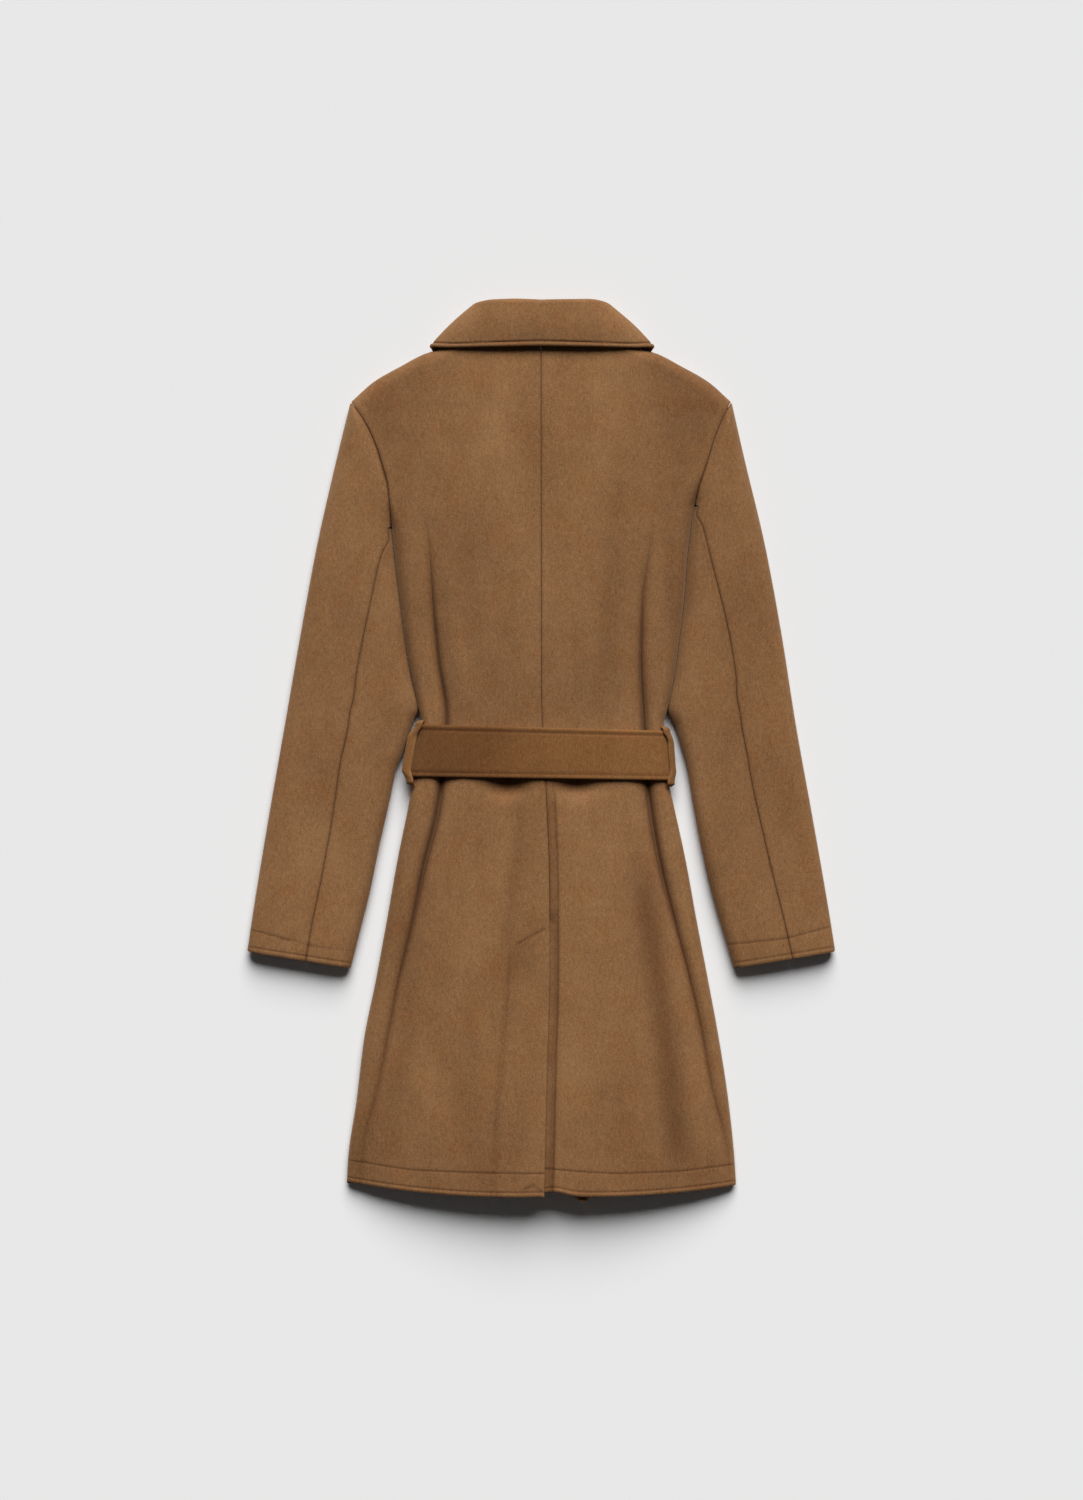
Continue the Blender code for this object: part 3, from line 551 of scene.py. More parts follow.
def dress(piece, node, restsOn=()):
    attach(piece, "root")
    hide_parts(node)
    graph = bpy.context.evaluated_depsgraph_get()
    mesh = piece.evaluated_get(graph).data
    total = sum(polygon.area for polygon in mesh.polygons) / 2
    print(f"{piece.name}: {len(mesh.polygons)} faces, {total:.4f} m2 of cloth")


# The back.
back = {
    "lines": [(-483.6, 0), (-482.8, 1), (-481.6, 1), (-474, 8), (-463, 5), (-450, 13), (-444, 3), (-212, 78)],
    "upperLines": [(-186, 22), (-60, 42), (-18, 21), (38, 14), (70, 16), (255, 62), (400, 60), (443, 30)],
    "hemArch": 4.2,  # how far the right panel's hem lifts beside the vent
    "hemStitchLeft": [(-214, -444.5), (-209, -446), (-139, -455), (-60, -457.5), (3, -458)],
    "hemStitchRight": [(-50, -454), (9, -453), (45, -456), (83, -458.4), (150, -456.5), (214, -450)],
    "edgeStrip": 5.4,  # the hem's turned edge
    "ventStitch": [(3.4, -194.6), (-12.0, -201.5), (-25.4, -210.5)],
    "ventFacing": [(-31, -219), (-38, -300), (-46, -396), (-49, -468)],
    "mitre": [(-20.5, -476), (-8.6, -469.5), (0, -476.5)],
    "shadowStrip": 9.0,  # width of the sunk strip beside the centre seam
}


fold = {
    "widen": 0.9,  # how much wider the folds get towards the hem
    "inside": ((0.72, 2.4), (0.28, 12)),  # share and reach of the sharp bottom and of the soft side
    "outside": ((0.45, 2.6), (0.55, 7)),
    "ridge": {"share": 0.22, "off": 20, "wide": 10},  # the swelling beside a fold
}


def topHeight(x, y, side, folds=True):
    edge = np.abs(edgeX(side, np.clip(y, bodyEdge[0].y, shoulderPoint[1])))
    middle = reading(girths, "middle", y)
    low = reading(girths, "side", y)
    across = np.clip(np.abs(x) / np.maximum(edge, 1), 0, 1)
    height = low + (middle - low) * (1 - across**2.2)
    if not folds:
        return height
    valley, depth = foldAt(side, y)
    fromFold = (x - valley) * side  # positive towards the side roll
    widen = 1 + fold["widen"] * smooth((-60 - y) / 380)
    (sharp, near), (soft, far) = fold["inside"]
    inside = sharp * crease(fromFold, near * widen) + soft * hump(fromFold, far * widen)
    (sharp, near), (soft, far) = fold["outside"]
    outside = sharp * crease(fromFold, near) + soft * hump(fromFold, far)
    height -= depth * np.where(fromFold < 0, inside, outside)
    ridge = fold["ridge"]
    besideFold = hump(fromFold + ridge["off"] * widen, ridge["wide"] * widen)
    height += ridge["share"] * depth * besideFold * (1 - hump(y, 60))
    for dip in dips:
        height -= dip.depth * hump(x - dip.x, dip.wide) * hump(y - dip.y, dip.tall)
    return height


def foldAt(side, y):  # where the sharp fold lies, and its depth
    return reading(valleys, sideName(side), y), reading(valleys, "depth" + sideTitle(side), y)


shading = {
    "fullDepth": 7.5,  # a fold this deep has all of its shade
    "sharp": (0.95, 2.0),  # strength and reach
    "soft": (0.35, 5),
    "waist": (0.9, -85, 75),  # strength, place and reach of the darker stretch under the belt
    # painted shade in the hollows under the belt, where the belt casts its shadow
    "hollow": 0.9,
    "bandX": [148, 139, 125, 109],  # painted shade: a soft band down the right of the skirt
    "bandY": [-440, -353, -245, -126],
    "band": (0.62, 15),
    "shoulder": {"left": 0.28, "right": 0.46},  # darker at the shoulders, more on the right
    "lowSkirt": 0.18,
}


def foldShade(x, y, side):  # how much of the light a fold keeps off its bottom
    valley, depth = foldAt(side, y)
    (sharp, near), (soft, far) = shading["sharp"], shading["soft"]
    dark, place, tall = shading["waist"]
    nearFold = sharp * crease(x - valley, near) + soft * hump(x - valley, far)
    shade = smooth(depth / shading["fullDepth"]) * nearFold
    shade *= 1 + dark * hump(y - place, tall)
    for streak in streaks:
        middle = streak.x + streak.lean * (y - streak.y)
        shade += streak.dark * hump(x - middle, streak.wide) * hump(y - streak.y, streak.tall)
    for dip in dips[:2]:
        shade += shading["hollow"] * hump(x - dip.x, dip.wide * 0.95) * hump(y - dip.y - 6, dip.tall * 0.8)
    dark, wide = shading["band"]
    band = np.interp(y, shading["bandY"], shading["bandX"])
    shade += dark * hump(x - band, wide) * smooth((-90 - y) / 90) * smooth((y + 470) / 60)
    shade += shading["shoulder"][sideName(side)] * (hump(np.abs(x) - 165, 60) * hump(y - 395, 75))
    shade += shading["lowSkirt"] * smooth((-330 - y) / 120)
    return shade


def edgeY(level, lowest, cornerRise, highest):
    rise = cornerRise * (1 - smooth((level - lowest) / 90))
    drop = (highest - shoulderPoint[1]) * smooth((level - shoulderFrom) / (highest - shoulderFrom))
    return level + rise - drop


def fromShoulder(y, side):
    return np.hypot(np.abs(edgeX(side, y)) - shoulderPoint[0], y - shoulderPoint[1])


def risingRim(height, y, side, over, radius, rolled):  # climbs along the armhole, from the side seam up
    seam = reading(girths, "seam", y)
    rim = seam + (height - seam) * np.sqrt(smooth((y - underarm[sideName(side)]) / over))
    return meet(rim, shoulderRim, fromShoulder(y, side), radius) if rolled else rim


def armholeRim(y, side, rolled=True):
    return risingRim(reading(girths, "side", y) - 0.8, y, side, 34, shoulderRound, rolled)


def panelRim(y, side, rimAbove):  # height of a panel's side edge, from the hem to the shoulder
    above = y > underarm[sideName(side)]
    return np.where(above, rimAbove(y, side, rolled=False), reading(girths, "seam", y))


def spread(levels, side, start, corner, rounds, columns):
    plan = []
    for level, innerX, radius in zip(levels, start, rounds):
        y = edgeY(level, levels[0], corner, levels[-1])
        end = np.array([edgeX(side, y), y])
        begin = np.array([innerX, level])
        width = np.linalg.norm(end - begin)
        last = width - radius
        t = np.concatenate([columns(level, last, innerX, side), width - radius * rolledEdge[1:]])
        plan.append(begin + (end - begin) * t[:, None] / width)
    return raiseTopEdge(np.array(plan), levels)


def raiseTopEdge(plan, levels):
    liftLine = plan[-1]
    target = liftLine.copy()
    target[:, 1] = reading(topEdge, "y", np.abs(liftLine[:, 0]))
    weight = smooth((np.array(levels) - shoulderFrom) / (levels[-1] - shoulderFrom))
    return plan + weight[:, None, None] * (target - liftLine)


def distanceTo(plan, border):
    return np.linalg.norm(plan - border, axis=-1)


def lowerTop(plan, height, radius):  # brings a panel down to its shoulder and neck seams
    rim = reading(topEdge, "rim", np.abs(plan[-1, :, 0]))
    return meet(height, rim, distanceTo(plan, plan[-1:]), radius)


def backColumns(level, last, start, side):  # distances along a cross line, from its start to the rolled edge
    seam = float(reading(centreBack, "x", level))
    if side > 0:
        strip = np.array([2.4, 3.4, 4.6, 6, 7.2, 8.2, 9, 9.8, 10.8, 12, 14, 17])
        near = np.concatenate([np.linspace(start, seam + 1.5, 9), seam + strip]) - start
    else:
        near = np.array([0, 0.5, 1.1, 1.9, 3, 4.4, 6, 8, 10.5, 14, 17])
    valley = (float(reading(valleys, sideName(side), level)) - start) * side
    valley = min(valley, last - 3.0)
    before = 13.0
    middle = np.linspace(near[-1], valley - before, 40)[1:]
    close = valley - before * (1 - np.linspace(0, 1, 10)[1:]) ** 1.3
    after = valley + (last - valley) * np.linspace(0, 1, 12)[1:] ** 1.25
    return np.concatenate([near, middle, close, after])


def nearLine(x, y, line):  # distance in y from a line that runs across
    line = np.array(line, float)
    return y - np.interp(x, line[:, 0], line[:, 1])


def acrossLine(line, turn):  # at right angles to a line of points in a plane
    along = np.gradient(line, axis=0)
    return unit(np.stack([turn * along[:, 1], -turn * along[:, 0]], axis=-1))


def seamNormals(outer, normals, side):
    sideways = acrossLine(outer[:, -1, :2], side)
    below = outer[:, -1, 1] <= underarm[sideName(side)] + 1
    normals[below, -1, :2] = sideways[below]
    normals[below, -1, 2] = 0
    across = np.sum(normals[~below, -1, :2] * sideways[~below], axis=-1)
    normals[~below, -1, :2] += np.maximum(0.05 - across, 0)[:, None] * sideways[~below]
    upward = acrossLine(outer[-1, :, :2], -side)
    shoulder = np.abs(outer[-1, :, 0]) >= sideNeck[0] - 1
    normals[-1, shoulder, :2] = upward[shoulder]
    normals[-1, shoulder, 2] = 0
    normals[-1, -1] = unit(np.array([side * 0.5, 0.87, 0]))
    normals[:, 0, 0] = 0
    return unit(normals)


def partSeams(outer, inner, side, up):
    outer, inner = outer.copy(), inner.copy()
    half = seamGap / 2
    armhole = outer[:, -1, 1] > underarm[sideName(side)] + 1
    for grid in (outer, inner):
        grid[~armhole, -1, 2] += up * half
        grid[armhole, -1, 0] -= side * half
        shoulder = np.abs(outer[-1, :, 0]) >= sideNeck[0] - 1
        grid[-1, shoulder, 2] += up * half
    return outer, inner


def panelWall(x, y, height, side, up):  # up is 1 for the back, and -1 for the fronts, which face the floor
    outer = np.dstack([x, y, height])
    normals = seamNormals(outer, gridNormals(outer) * (side * up), side)
    return partSeams(outer, outer - cloth * normals, side, up)


def facingAt(y):  # x of the edge of the vent's facing, which shows through the left panel
    line = np.array(back["ventFacing"], float)[::-1]
    return np.interp(y, line[:, 1], line[:, 0])


def strokeNear(x, y, line, width):  # 1 on a short straight stitch line
    start, end = np.array(line[0], float), np.array(line[-1], float)
    long = np.linalg.norm(end - start)
    along = (end - start) / long
    reach = (x - start[0]) * along[0] + (y - start[1]) * along[1]
    off = (y - start[1]) * along[0] - (x - start[0]) * along[1]
    return smooth((reach + 2) / 2) * smooth((long + 2 - reach) / 2) * crease(off, width)


def backRelief(x, y, side, seamX, fromHem, fromEdge):  # seams, stitch lines and folded edges, as heights
    relief = -0.55 * crease(nearLine(x, y, back["hemStitch" + sideTitle(side)]), 0.9)
    relief = relief - 0.6 * hump(fromHem - back["edgeStrip"], 0.9) + 0.35 * hump(fromHem - 2.6, 2.2)
    fromSeam = (x - seamX) * side
    aboveVent = smooth((y - ventTop) / 10)
    relief = relief - 0.9 * crease(fromSeam, 1.2) * aboveVent + 0.35 * hump(fromSeam - 3.2, 2.0) * aboveVent
    if side > 0:
        strip = smooth((-30 - y) / 40)
        relief -= 1.1 * strip * (1 - smooth((fromSeam - 7.5) / 3.5)) * smooth((fromSeam + 4) / 4)
        relief -= 0.5 * strip * crease(fromSeam - back["shadowStrip"], 1.0)
    else:
        doubled = smooth((-212 - y) / 10)
        relief += 0.55 * doubled * smooth((x - facingAt(y) + 1.2) / 2.4)
        relief -= 0.6 * strokeNear(x, y, back["ventStitch"], 1.2)
    shoulderSeam = 0.7 * hump(fromEdge - 3.0, 2.4) - 0.8 * crease(fromEdge, 1.0)
    above = smooth((y - underarm[sideName(side)]) / 12)
    return relief + above * shoulderSeam


def backShade(x, y, side, levels, seamX, fromHem, fromSide):  # what seams and stitch lines add to the shade
    stitchLine = back["hemStitch" + sideTitle(side)]
    fromSeam = (x - seamX) * side
    aboveVent = smooth((levels - ventTop) / 10)[:, None]
    parts = [
        0.6 * hump(fromHem - back["edgeStrip"], 0.9),
        0.7 * hump(nearLine(x, y, stitchLine), 0.9),
        0.5 * crease(fromSeam, 1.0) * aboveVent,
        0.6 * smooth((y - underarm[sideName(side)]) / 8) * crease(fromSide, 1.2),
    ]
    if side > 0:
        strip = smooth((-30 - y) / 40)
        edge = 0.75 * crease(fromSeam - back["shadowStrip"], 1.4)
        return parts + [strip * (edge + 0.36 * smooth((9 - fromSeam) / 3))]
    parts.append(0.75 * strokeNear(x, y, back["ventStitch"], 1.1))
    parts += [0.7 * strokeNear(x, y, line, 0.9) for line in (back["mitre"][:2], back["mitre"][1:])]
    facingX = facingAt(y)
    parts.append(0.38 * smooth((-212 - y) / 10) * hump(x - facingX + 1.5, 2.5))
    underStitch = smooth((-203 - y) / 10) * smooth((y + 265) / 45)
    parts.append(0.24 * underStitch * smooth((x - facingX) / 3) * smooth((-2 - x) / 8))
    return parts


def buildBack(side):
    name = "back_" + sideName(side)
    levels = spaced(back["lines"] + back["upperLines"])
    seamX = reading(centreBack, "x", levels)
    start = seamX + side * seamGap / 2
    if side > 0:
        under = reading(centreBack, "under", levels)
        start = np.where(under < seamX - 0.01, np.minimum(under, start), start)
    rounds = reading(girths, "round", levels)
    plan = spread(levels, side, start, backHemRise[sideName(side)], rounds, backColumns)
    u = np.abs(plan[0, :, 0]) / abs(plan[0, -1, 0])
    belly = 1 - smooth((levels - levels[0]) / 120)
    plan[:, :, 1] -= belly[:, None] * (hemBelly * 4 * u * (1 - u))
    if side > 0:
        fromVent = plan[:, :, 0] - seamX[:, None]
        lift = back["hemArch"] * hump(fromVent - 12, 15) + 5.0 * smooth(-fromVent / 12)
        plan[:, :, 1] += (1 - smooth((levels - levels[0]) / 45))[:, None] * lift
    x, y = plan[:, :, 0], plan[:, :, 1]
    rim = panelRim(y[:, -1], side, armholeRim)
    fromSide = distanceTo(plan, plan[:, -1:, :])
    fromHem = distanceTo(plan, plan[:1, :, :])
    height = topHeight(x, y, side)
    height = height + 0.45 * ripple(x, y, 95, 11, 2.0) + 0.16 * ripple(x, y, 26, 12, 1.4)
    height = height + backRelief(x, y, side, seamX[:, None], fromHem, fromSide)
    height = meet(height, rim[:, None], fromSide, rounds[:, None])
    height = lowerTop(plan, height, shoulderRound + 12 * (1 - smooth((np.abs(plan[-1, :, 0]) - 40) / 40)))
    if side > 0:
        sunk = smooth((-172 - levels) / 18)[:, None]
        height = height - sunk * (cloth + stackGap) * smooth((seamX[:, None] + 12 - x) / 9)
    outer, inner = panelWall(x, y, height, side, 1)
    shade = foldShade(x, y, side) * roll(fromSide, rounds[:, None])
    for part in backShade(x, y, side, levels, seamX[:, None], fromHem, fromSide):
        shade += part
    softenEdge(outer, inner, "first")
    surface = surfaceOf(outer)
    if side < 0:
        vent = np.sum(levels < ventTop)
        softenEdge(outer[:vent], inner[:vent], "start")
        rows = [back["hemStitchLeft"][1:], back["ventStitch"], back["mitre"][:2], back["mitre"][1:]]
    else:
        rows = [back["hemStitchRight"][1:-1]]
    stitches = [stitchRow(surface, row) for row in rows]
    piece = addSheet("backPanel" + sideTitle(side), outer, inner, coatWool, shade, stitches, flip=side < 0)
    dress(piece, name, restsOn=["front_" + sideName(side)])


for side in (-1, 1):
    buildBack(side)
print("back panels made")


# The fronts, under the coat.
front = {
    "lines": [(-480, 0), (-479.2, 1), (-478, 1), (-472, 3), (-440, 10), (-110, 60), (-36, 24), (30, 16)],
    "upperLines": [(100, 20), (300, 40), (410, 30), (454, 18)],
    "hemPeep": {"x": 45, "wide": 14, "drop": 13.5, "lift": 32.5},  # where the hem shows below the back
}


def wrapEdge(side, y):
    slant = np.clip((y - breakPoint) / (sideNeck[1] - breakPoint), 0, 1)
    return -side * wrap + side * (wrap + sideNeck[0]) * slant


def frontLift(x, y):
    belt = smooth((y + 85) / 46) * smooth((78 - y) / 46)
    lapped = smooth((x + 92) / 34) * smooth((92 - x) / 34)
    collar = smooth((y - 318) / 34) * smooth((152 - np.abs(x)) / 26)
    return belt * (beltLift + lapped * (beltCloth + stackGap)) + collarLift * collar


def underRim(y, side, rolled=True):
    low = frontLift(np.full_like(np.asarray(y, float), side * 190.0), y) + 0.6
    return risingRim(low, y, side, 26, underRound, rolled)


def frontColumns(level, last, start, side):
    edge = np.array([0, 0.7, 1.6, 3.0, 6.0])
    step = min(max(2 * abs(start), 16) + 34, last - 8)
    middle = np.linspace(edge[-1], step, 34)[1:]
    return np.concatenate([edge, middle, np.linspace(step, last, 12)[1:]])


def buildFront(side):
    name = "front_" + sideName(side)
    levels = spaced(front["lines"] + front["upperLines"])
    start = wrapEdge(side, levels)
    rounds = np.full(len(levels), underRound)
    plan = spread(levels, side, start, frontHemRise, rounds, frontColumns)
    x, y = plan[:, :, 0], plan[:, :, 1]
    height = frontLift(x, y)
    if side < 0:
        over = smooth((x - wrapEdge(1, y) + 34) / 30)
        height = height + (cloth + stackGap) * over
    rim = panelRim(y[:, -1], side, underRim)
    fromSide = distanceTo(plan, plan[:, -1:, :])
    height = meet(height, rim[:, None], fromSide, underRound)
    outer, inner = panelWall(x, y, lowerTop(plan, height, underRound), side, -1)
    if side > 0:
        peep = front["hemPeep"]
        curl = hump(x - peep["x"], peep["wide"]) * (1 - smooth((y - levels[0]) / 40))
        for grid in (outer, inner):
            grid[..., 1] -= peep["drop"] * curl
            grid[..., 2] += peep["lift"] * curl
    softenEdge(outer, inner, "first")
    softenEdge(outer, inner, "start")
    piece = addSheet("frontPanel" + sideTitle(side), outer, inner, coatWool, flip=side > 0)
    dress(piece, name)


for side in (-1, 1):
    buildFront(side)
print("fronts made")


# The sleeves.
sleeve = {
    "cuffStitchLeft": [(-317.5, -193.5), (-314, -196), (-251, -212), (-202, -219), (-199, -220)],
    "cuffStitchRight": [(199, -213), (202.5, -212), (267, -205), (315, -192), (318, -190.5)],
    "edgeStrip": 5.6,
    "slant": 18,  # how much nearer the shoulder a cross line meets the outer edge, from the elbow down
    "sideRise": 10,  # how steeply the top climbs from the side edges
}


def sleeveAcross(side, y):
    name = sideName(side)
    if y > underarm[name]:
        inner = np.array([edgeX(side, y) + side * seamGap, y])
    else:
        inner = np.array([reading(sleeveInner, name, y), y])
    outerY = y + sleeve["slant"] * smooth((shoulderPoint[1] - y) / 400)
    return inner, np.array([reading(sleeveOuter, name, outerY), outerY])


def sleevePoints(side, y, qTop, qLow, fromCuff):
    name = sideName(side)
    inner, outer = sleeveAcross(side, y)
    width = np.linalg.norm(outer - inner)
    q = np.concatenate([qTop, qLow])
    plan = inner + (outer - inner) * q[:, None]
    crown = reading(sleeveLines, "crown", y)
    rise = sleeve["sideRise"]
    face = sleeveEdge + rise + (crown - sleeveEdge - rise) * (1 - np.abs(2 * qTop - 1) ** 2.4)
    topX, topY = plan[: len(qTop), 0], plan[: len(qTop), 1]
    face = face + 0.4 * ripple(topX, topY, 80, 21 + side, 2.2) + 0.15 * ripple(topX, topY, 24, 23 + side, 1.4)
    seamAt = float(reading(sleeveLines, "back" + sideTitle(side), y)) * width
    fromSeam = qTop * width - seamAt
    if y <= underarm[name]:
        face = face - 0.9 * crease(fromSeam, 1.1) + 0.35 * hump(fromSeam + 3.0, 1.8)
    else:
        face -= 1.2 * hump(qTop * width, 4.0)
    face -= 0.5 * crease(nearLine(topX, topY, sleeve["cuffStitch" + sideTitle(side)]), 0.9)
    face -= 0.55 * hump(fromCuff - sleeve["edgeStrip"], 0.9)
    atBody = armholeRim(y, side) if y > underarm[name] else sleeveEdge
    belowBody = underRim(y, side) if y > underarm[name] else sleeveEdge
    top = meet(face, atBody, qTop * width, sleeveRound)
    top = meet(top, sleeveEdge, (1 - qTop) * width, sleeveRound)
    low = belowBody * (1 - roll(qLow * width, sleeveUnderRound))
    low = meet(low, sleeveEdge, (1 - qLow) * width, sleeveUnderRound)
    return np.column_stack([plan, np.concatenate([top, low])])


def upperFractions(width, first, end):
    edge = min(sleeveRound / width, 0.45) * rolledEdge
    lowEdge = min(sleeveUnderRound / width, 0.4) * rolledEdge[::2]
    last = 1 - edge[0]
    over = first + (last - first) * np.linspace(0, 1, 30)[:-1] ** 1.25
    below = end + (1 - lowEdge[0] - end) * np.linspace(1, 0, 16)[1:]
    return np.concatenate([over, 1 - edge]), np.concatenate([1 - lowEdge[-2::-1], below])


def underFractions(width, first, end):
    inTop = min(sleeveRound / width, first * 0.6)
    inLow = min(sleeveUnderRound / width, end * 0.4)
    turn = np.concatenate([[0], inTop * rolledEdge[-2:0:-1], [inTop]])
    across = inTop + (first - inTop) * (1 - (1 - np.linspace(0, 1, 22)[1:]) ** 1.3)
    low = np.concatenate([np.linspace(end, inLow, 8)[:-1], inLow * rolledEdge[0:-1:2]])
    return np.concatenate([turn, across]), low


def sleeveRows(side):
    top = shoulderPoint[1] - 2.0
    lowest = underarm[sideName(side)]
    heads = top - (top - lowest - 2.5) * np.linspace(0, 1, 46) ** 1.15
    arms = spaced([(0, 0), (0.012, 3), (0.94, 128), (0.957, 6), (0.975, 3), (0.994, 9), (0.998, 2), (1, 1)])
    return heads, lowest + (cuffLine - lowest) * arms


def sleeveGrids(side):
    name = sideName(side)
    heads, arms = sleeveRows(side)
    upper, under, widths = [], [], []
    for y in np.concatenate([heads, arms]):
        inner, outer = sleeveAcross(side, y)
        width = np.linalg.norm(outer - inner)
        widths.append(width)
        fromCuff = y - cuffLine
        if y > underarm[name]:
            upper.append(sleevePoints(side, y, *upperFractions(width, 0.0, 0.0), fromCuff))
            continue
        first = max(float(reading(sleeveLines, "back" + sideTitle(side), y)), 4 / width)
        end = forearmSeam * smooth((underarm[name] - y) / 120) + 6 / width
        upper.append(sleevePoints(side, y, *upperFractions(width, first, end), fromCuff))
        over, below = underFractions(width, first, end)
        ring = sleevePoints(side, y, over, below, fromCuff)
        under.append(np.concatenate([ring[len(over) :], ring[: len(over)]]))
    return np.array(upper), np.array(under), np.array(widths)


def armholeSideways(side, y):
    slope = (edgeX(side, np.clip(y + 1, 0, shoulderPoint[1])) - edgeX(side, y - 1)) / 2
    return unit(np.stack([np.full_like(slope, side), -side * slope], axis=-1))


def narrowed(grid):
    grid = grid.copy()
    for edge, neighbour in ((0, 1), (-1, -2)):
        towards = unit(grid[:, neighbour] - grid[:, edge])
        grid[:, edge] += towards * seamGap * 0.5
    return grid


def addSleevePiece(side, part, skin, lining, fromCuff):
    name = f"sleeve_{sideName(side)}_{part}"
    skin, lining = narrowed(skin), narrowed(lining)
    stitchLine = sleeve["cuffStitch" + sideTitle(side)]
    # painted shade along the cuff's turned edge, its stitch line and the seams
    shade = 0.6 * hump(fromCuff[:, None] - sleeve["edgeStrip"], 0.9)
    shade = shade + 0.7 * hump(nearLine(skin[..., 0], skin[..., 1], stitchLine), 0.9)
    for edge in (skin[:, :1], skin[:, -1:]):
        shade += 0.85 * crease(distanceTo(skin, edge), 1.3)
    softenEdge(skin, lining, "last")
    stitches = [stitchRow(surfaceOf(skin), stitchLine)]
    title = "sleeve" + part.capitalize() + sideTitle(side)
    piece = addSheet(title, skin, lining, coatWool, shade, stitches, flip=side > 0)
    dress(piece, name)


def buildSleeve(side):
    upper, under, widths = sleeveGrids(side)
    heads, arms = sleeveRows(side)
    head = len(heads)
    fromCuff = np.concatenate([heads, arms]) - cuffLine
    normals = gridNormals(upper) * -side
    ring = np.concatenate([upper[head:], under[:, 1:-1]], axis=1)
    ringNormals = gridNormals(ring, wrapRound=True) * -side
    normals[head:] = ringNormals[:, : upper.shape[1]]
    underNormals = np.concatenate([ringNormals[:, upper.shape[1] - 1 :], ringNormals[:, :1]], axis=1)
    leaning = armholeSideways(side, heads)
    for column in (0, -1):
        across = np.sum(normals[:head, column, :2] * leaning, axis=-1)
        normals[:head, column, :2] -= np.maximum(across + 0.05, 0)[:, None] * leaning
    wall = cloth * smooth(widths / 14)[:, None, None]
    addSleevePiece(side, "upper", upper, upper - wall * unit(normals), fromCuff)
    addSleevePiece(side, "under", under, under - cloth * underNormals, fromCuff[head:])


for side in (-1, 1):
    buildSleeve(side)
print("sleeves made")

# The collar.
collar = {"stationsPerLine": 12, "edgeStrip": 5.5, "wider": 1.02}


def collarStation(at):
    k = min(int(at), len(collarLines) - 2)
    s = at - k
    rows = [collarLines[max(k - 1, 0)], collarLines[k], collarLines[k + 1]]
    rows.append(collarLines[min(k + 2, len(collarLines) - 1)])
    values = []
    for field in collarLines[0]._fields:
        a, b, c, d = [np.array(getattr(row, field), float) for row in rows]
        bend = (2 * a - 5 * b + 4 * c - d) * s**2 + (3 * b - a - 3 * c + d) * s**3
        values.append(0.5 * (2 * b + (c - a) * s + bend))
    return values


def collarProfile(at, side):
    seam, turn, edge, out, radius = collarStation(at)
    out = unit(out)
    up = turn - edge
    up = unit(up - np.dot(up, out) * out)
    fallTop = turn + radius * out
    steps = spaced([(0, 0), (0.02, 2), (0.3, 12), (0.96, 14)])
    fall = [edge + (fallTop - edge) * s + out * 2.2 * np.sin(np.pi * s) for s in steps]
    angles = np.radians(np.linspace(0, 180, 19))
    fold = [turn + radius * (np.cos(a) * out + np.sin(a) * up) for a in angles]
    standTop = fold[-1]
    stand = [standTop + (seam - standTop) * s for s in np.linspace(0, 1, 12)[1:]]
    points = np.array(fall + fold + stand)
    wider = np.ones(len(points))
    if side > 0:
        wider[: -len(stand)] = collar["wider"]
    points[:, 0] *= -side * wider
    return points, len(fall)


def buildCollar():
    count = (len(collarLines) - 1) * collar["stationsPerLine"] + 1
    places = np.linspace(0, len(collarLines) - 1, count)
    left = [collarProfile(at, -1)[0] for at in places[::-1]]
    right = [collarProfile(at, 1)[0] for at in places[1:]]
    fallCount = collarProfile(0, 1)[1]
    middle = np.array(left + right)[::-1]
    normals = gridNormals(middle)
    fromEdge = distanceTo(middle, middle[:, :1])
    relief = np.zeros(middle.shape[:2])
    strip = fromEdge[:, :fallCount]
    relief[:, :fallCount] = 0.5 * hump(strip - 2.6, 2.0) - 1.0 * hump(strip - collar["edgeStrip"], 1.0)
    wave = 0.35 * ripple(middle[..., 0], middle[..., 1], 60, 31)
    outer = middle + normals * (collarCloth / 2 + relief + wave)[..., None]
    inner = middle - normals * (collarCloth / 2)
    for grid in (outer, inner):
        grid[..., 2] = np.maximum(grid[..., 2], 0)
    softenEdge(outer, inner, "start")
    # painted shade along the groove of the fall's edge strip
    shade = 0.8 * hump(fromEdge - collar["edgeStrip"], 1.0)
    piece = addSheet("coatCollar", outer, inner, coatWool, shade)
    dress(piece, "collar", restsOn=["back_left", "back_right"])


buildCollar()
print("collar made")

# The belt and its loops.
belt = {
    "rows": 31,
    "edgeStrip": 5.2,
    "edgeRound": 1.6,
    "slopes": 140,  # the belt slants from side to side between these places, and is level beyond them
}
loop = {
    "ends": {"left": (30.5, -40.0), "right": (24.0, -41.5)},
    "climb": 4.5,  # how far from its ends a loop rises onto the belt
    "room": 1.4,
    "bow": {"left": 7.0, "right": 3.6},  # how far its lower edge stands off half way down
    "cloth": 1.8,
    "turn": (10, 58, 34),  # degrees up the side roll: lower edge, upper edge at the ends and half way
    "across": 13,
    "along": 49,
}


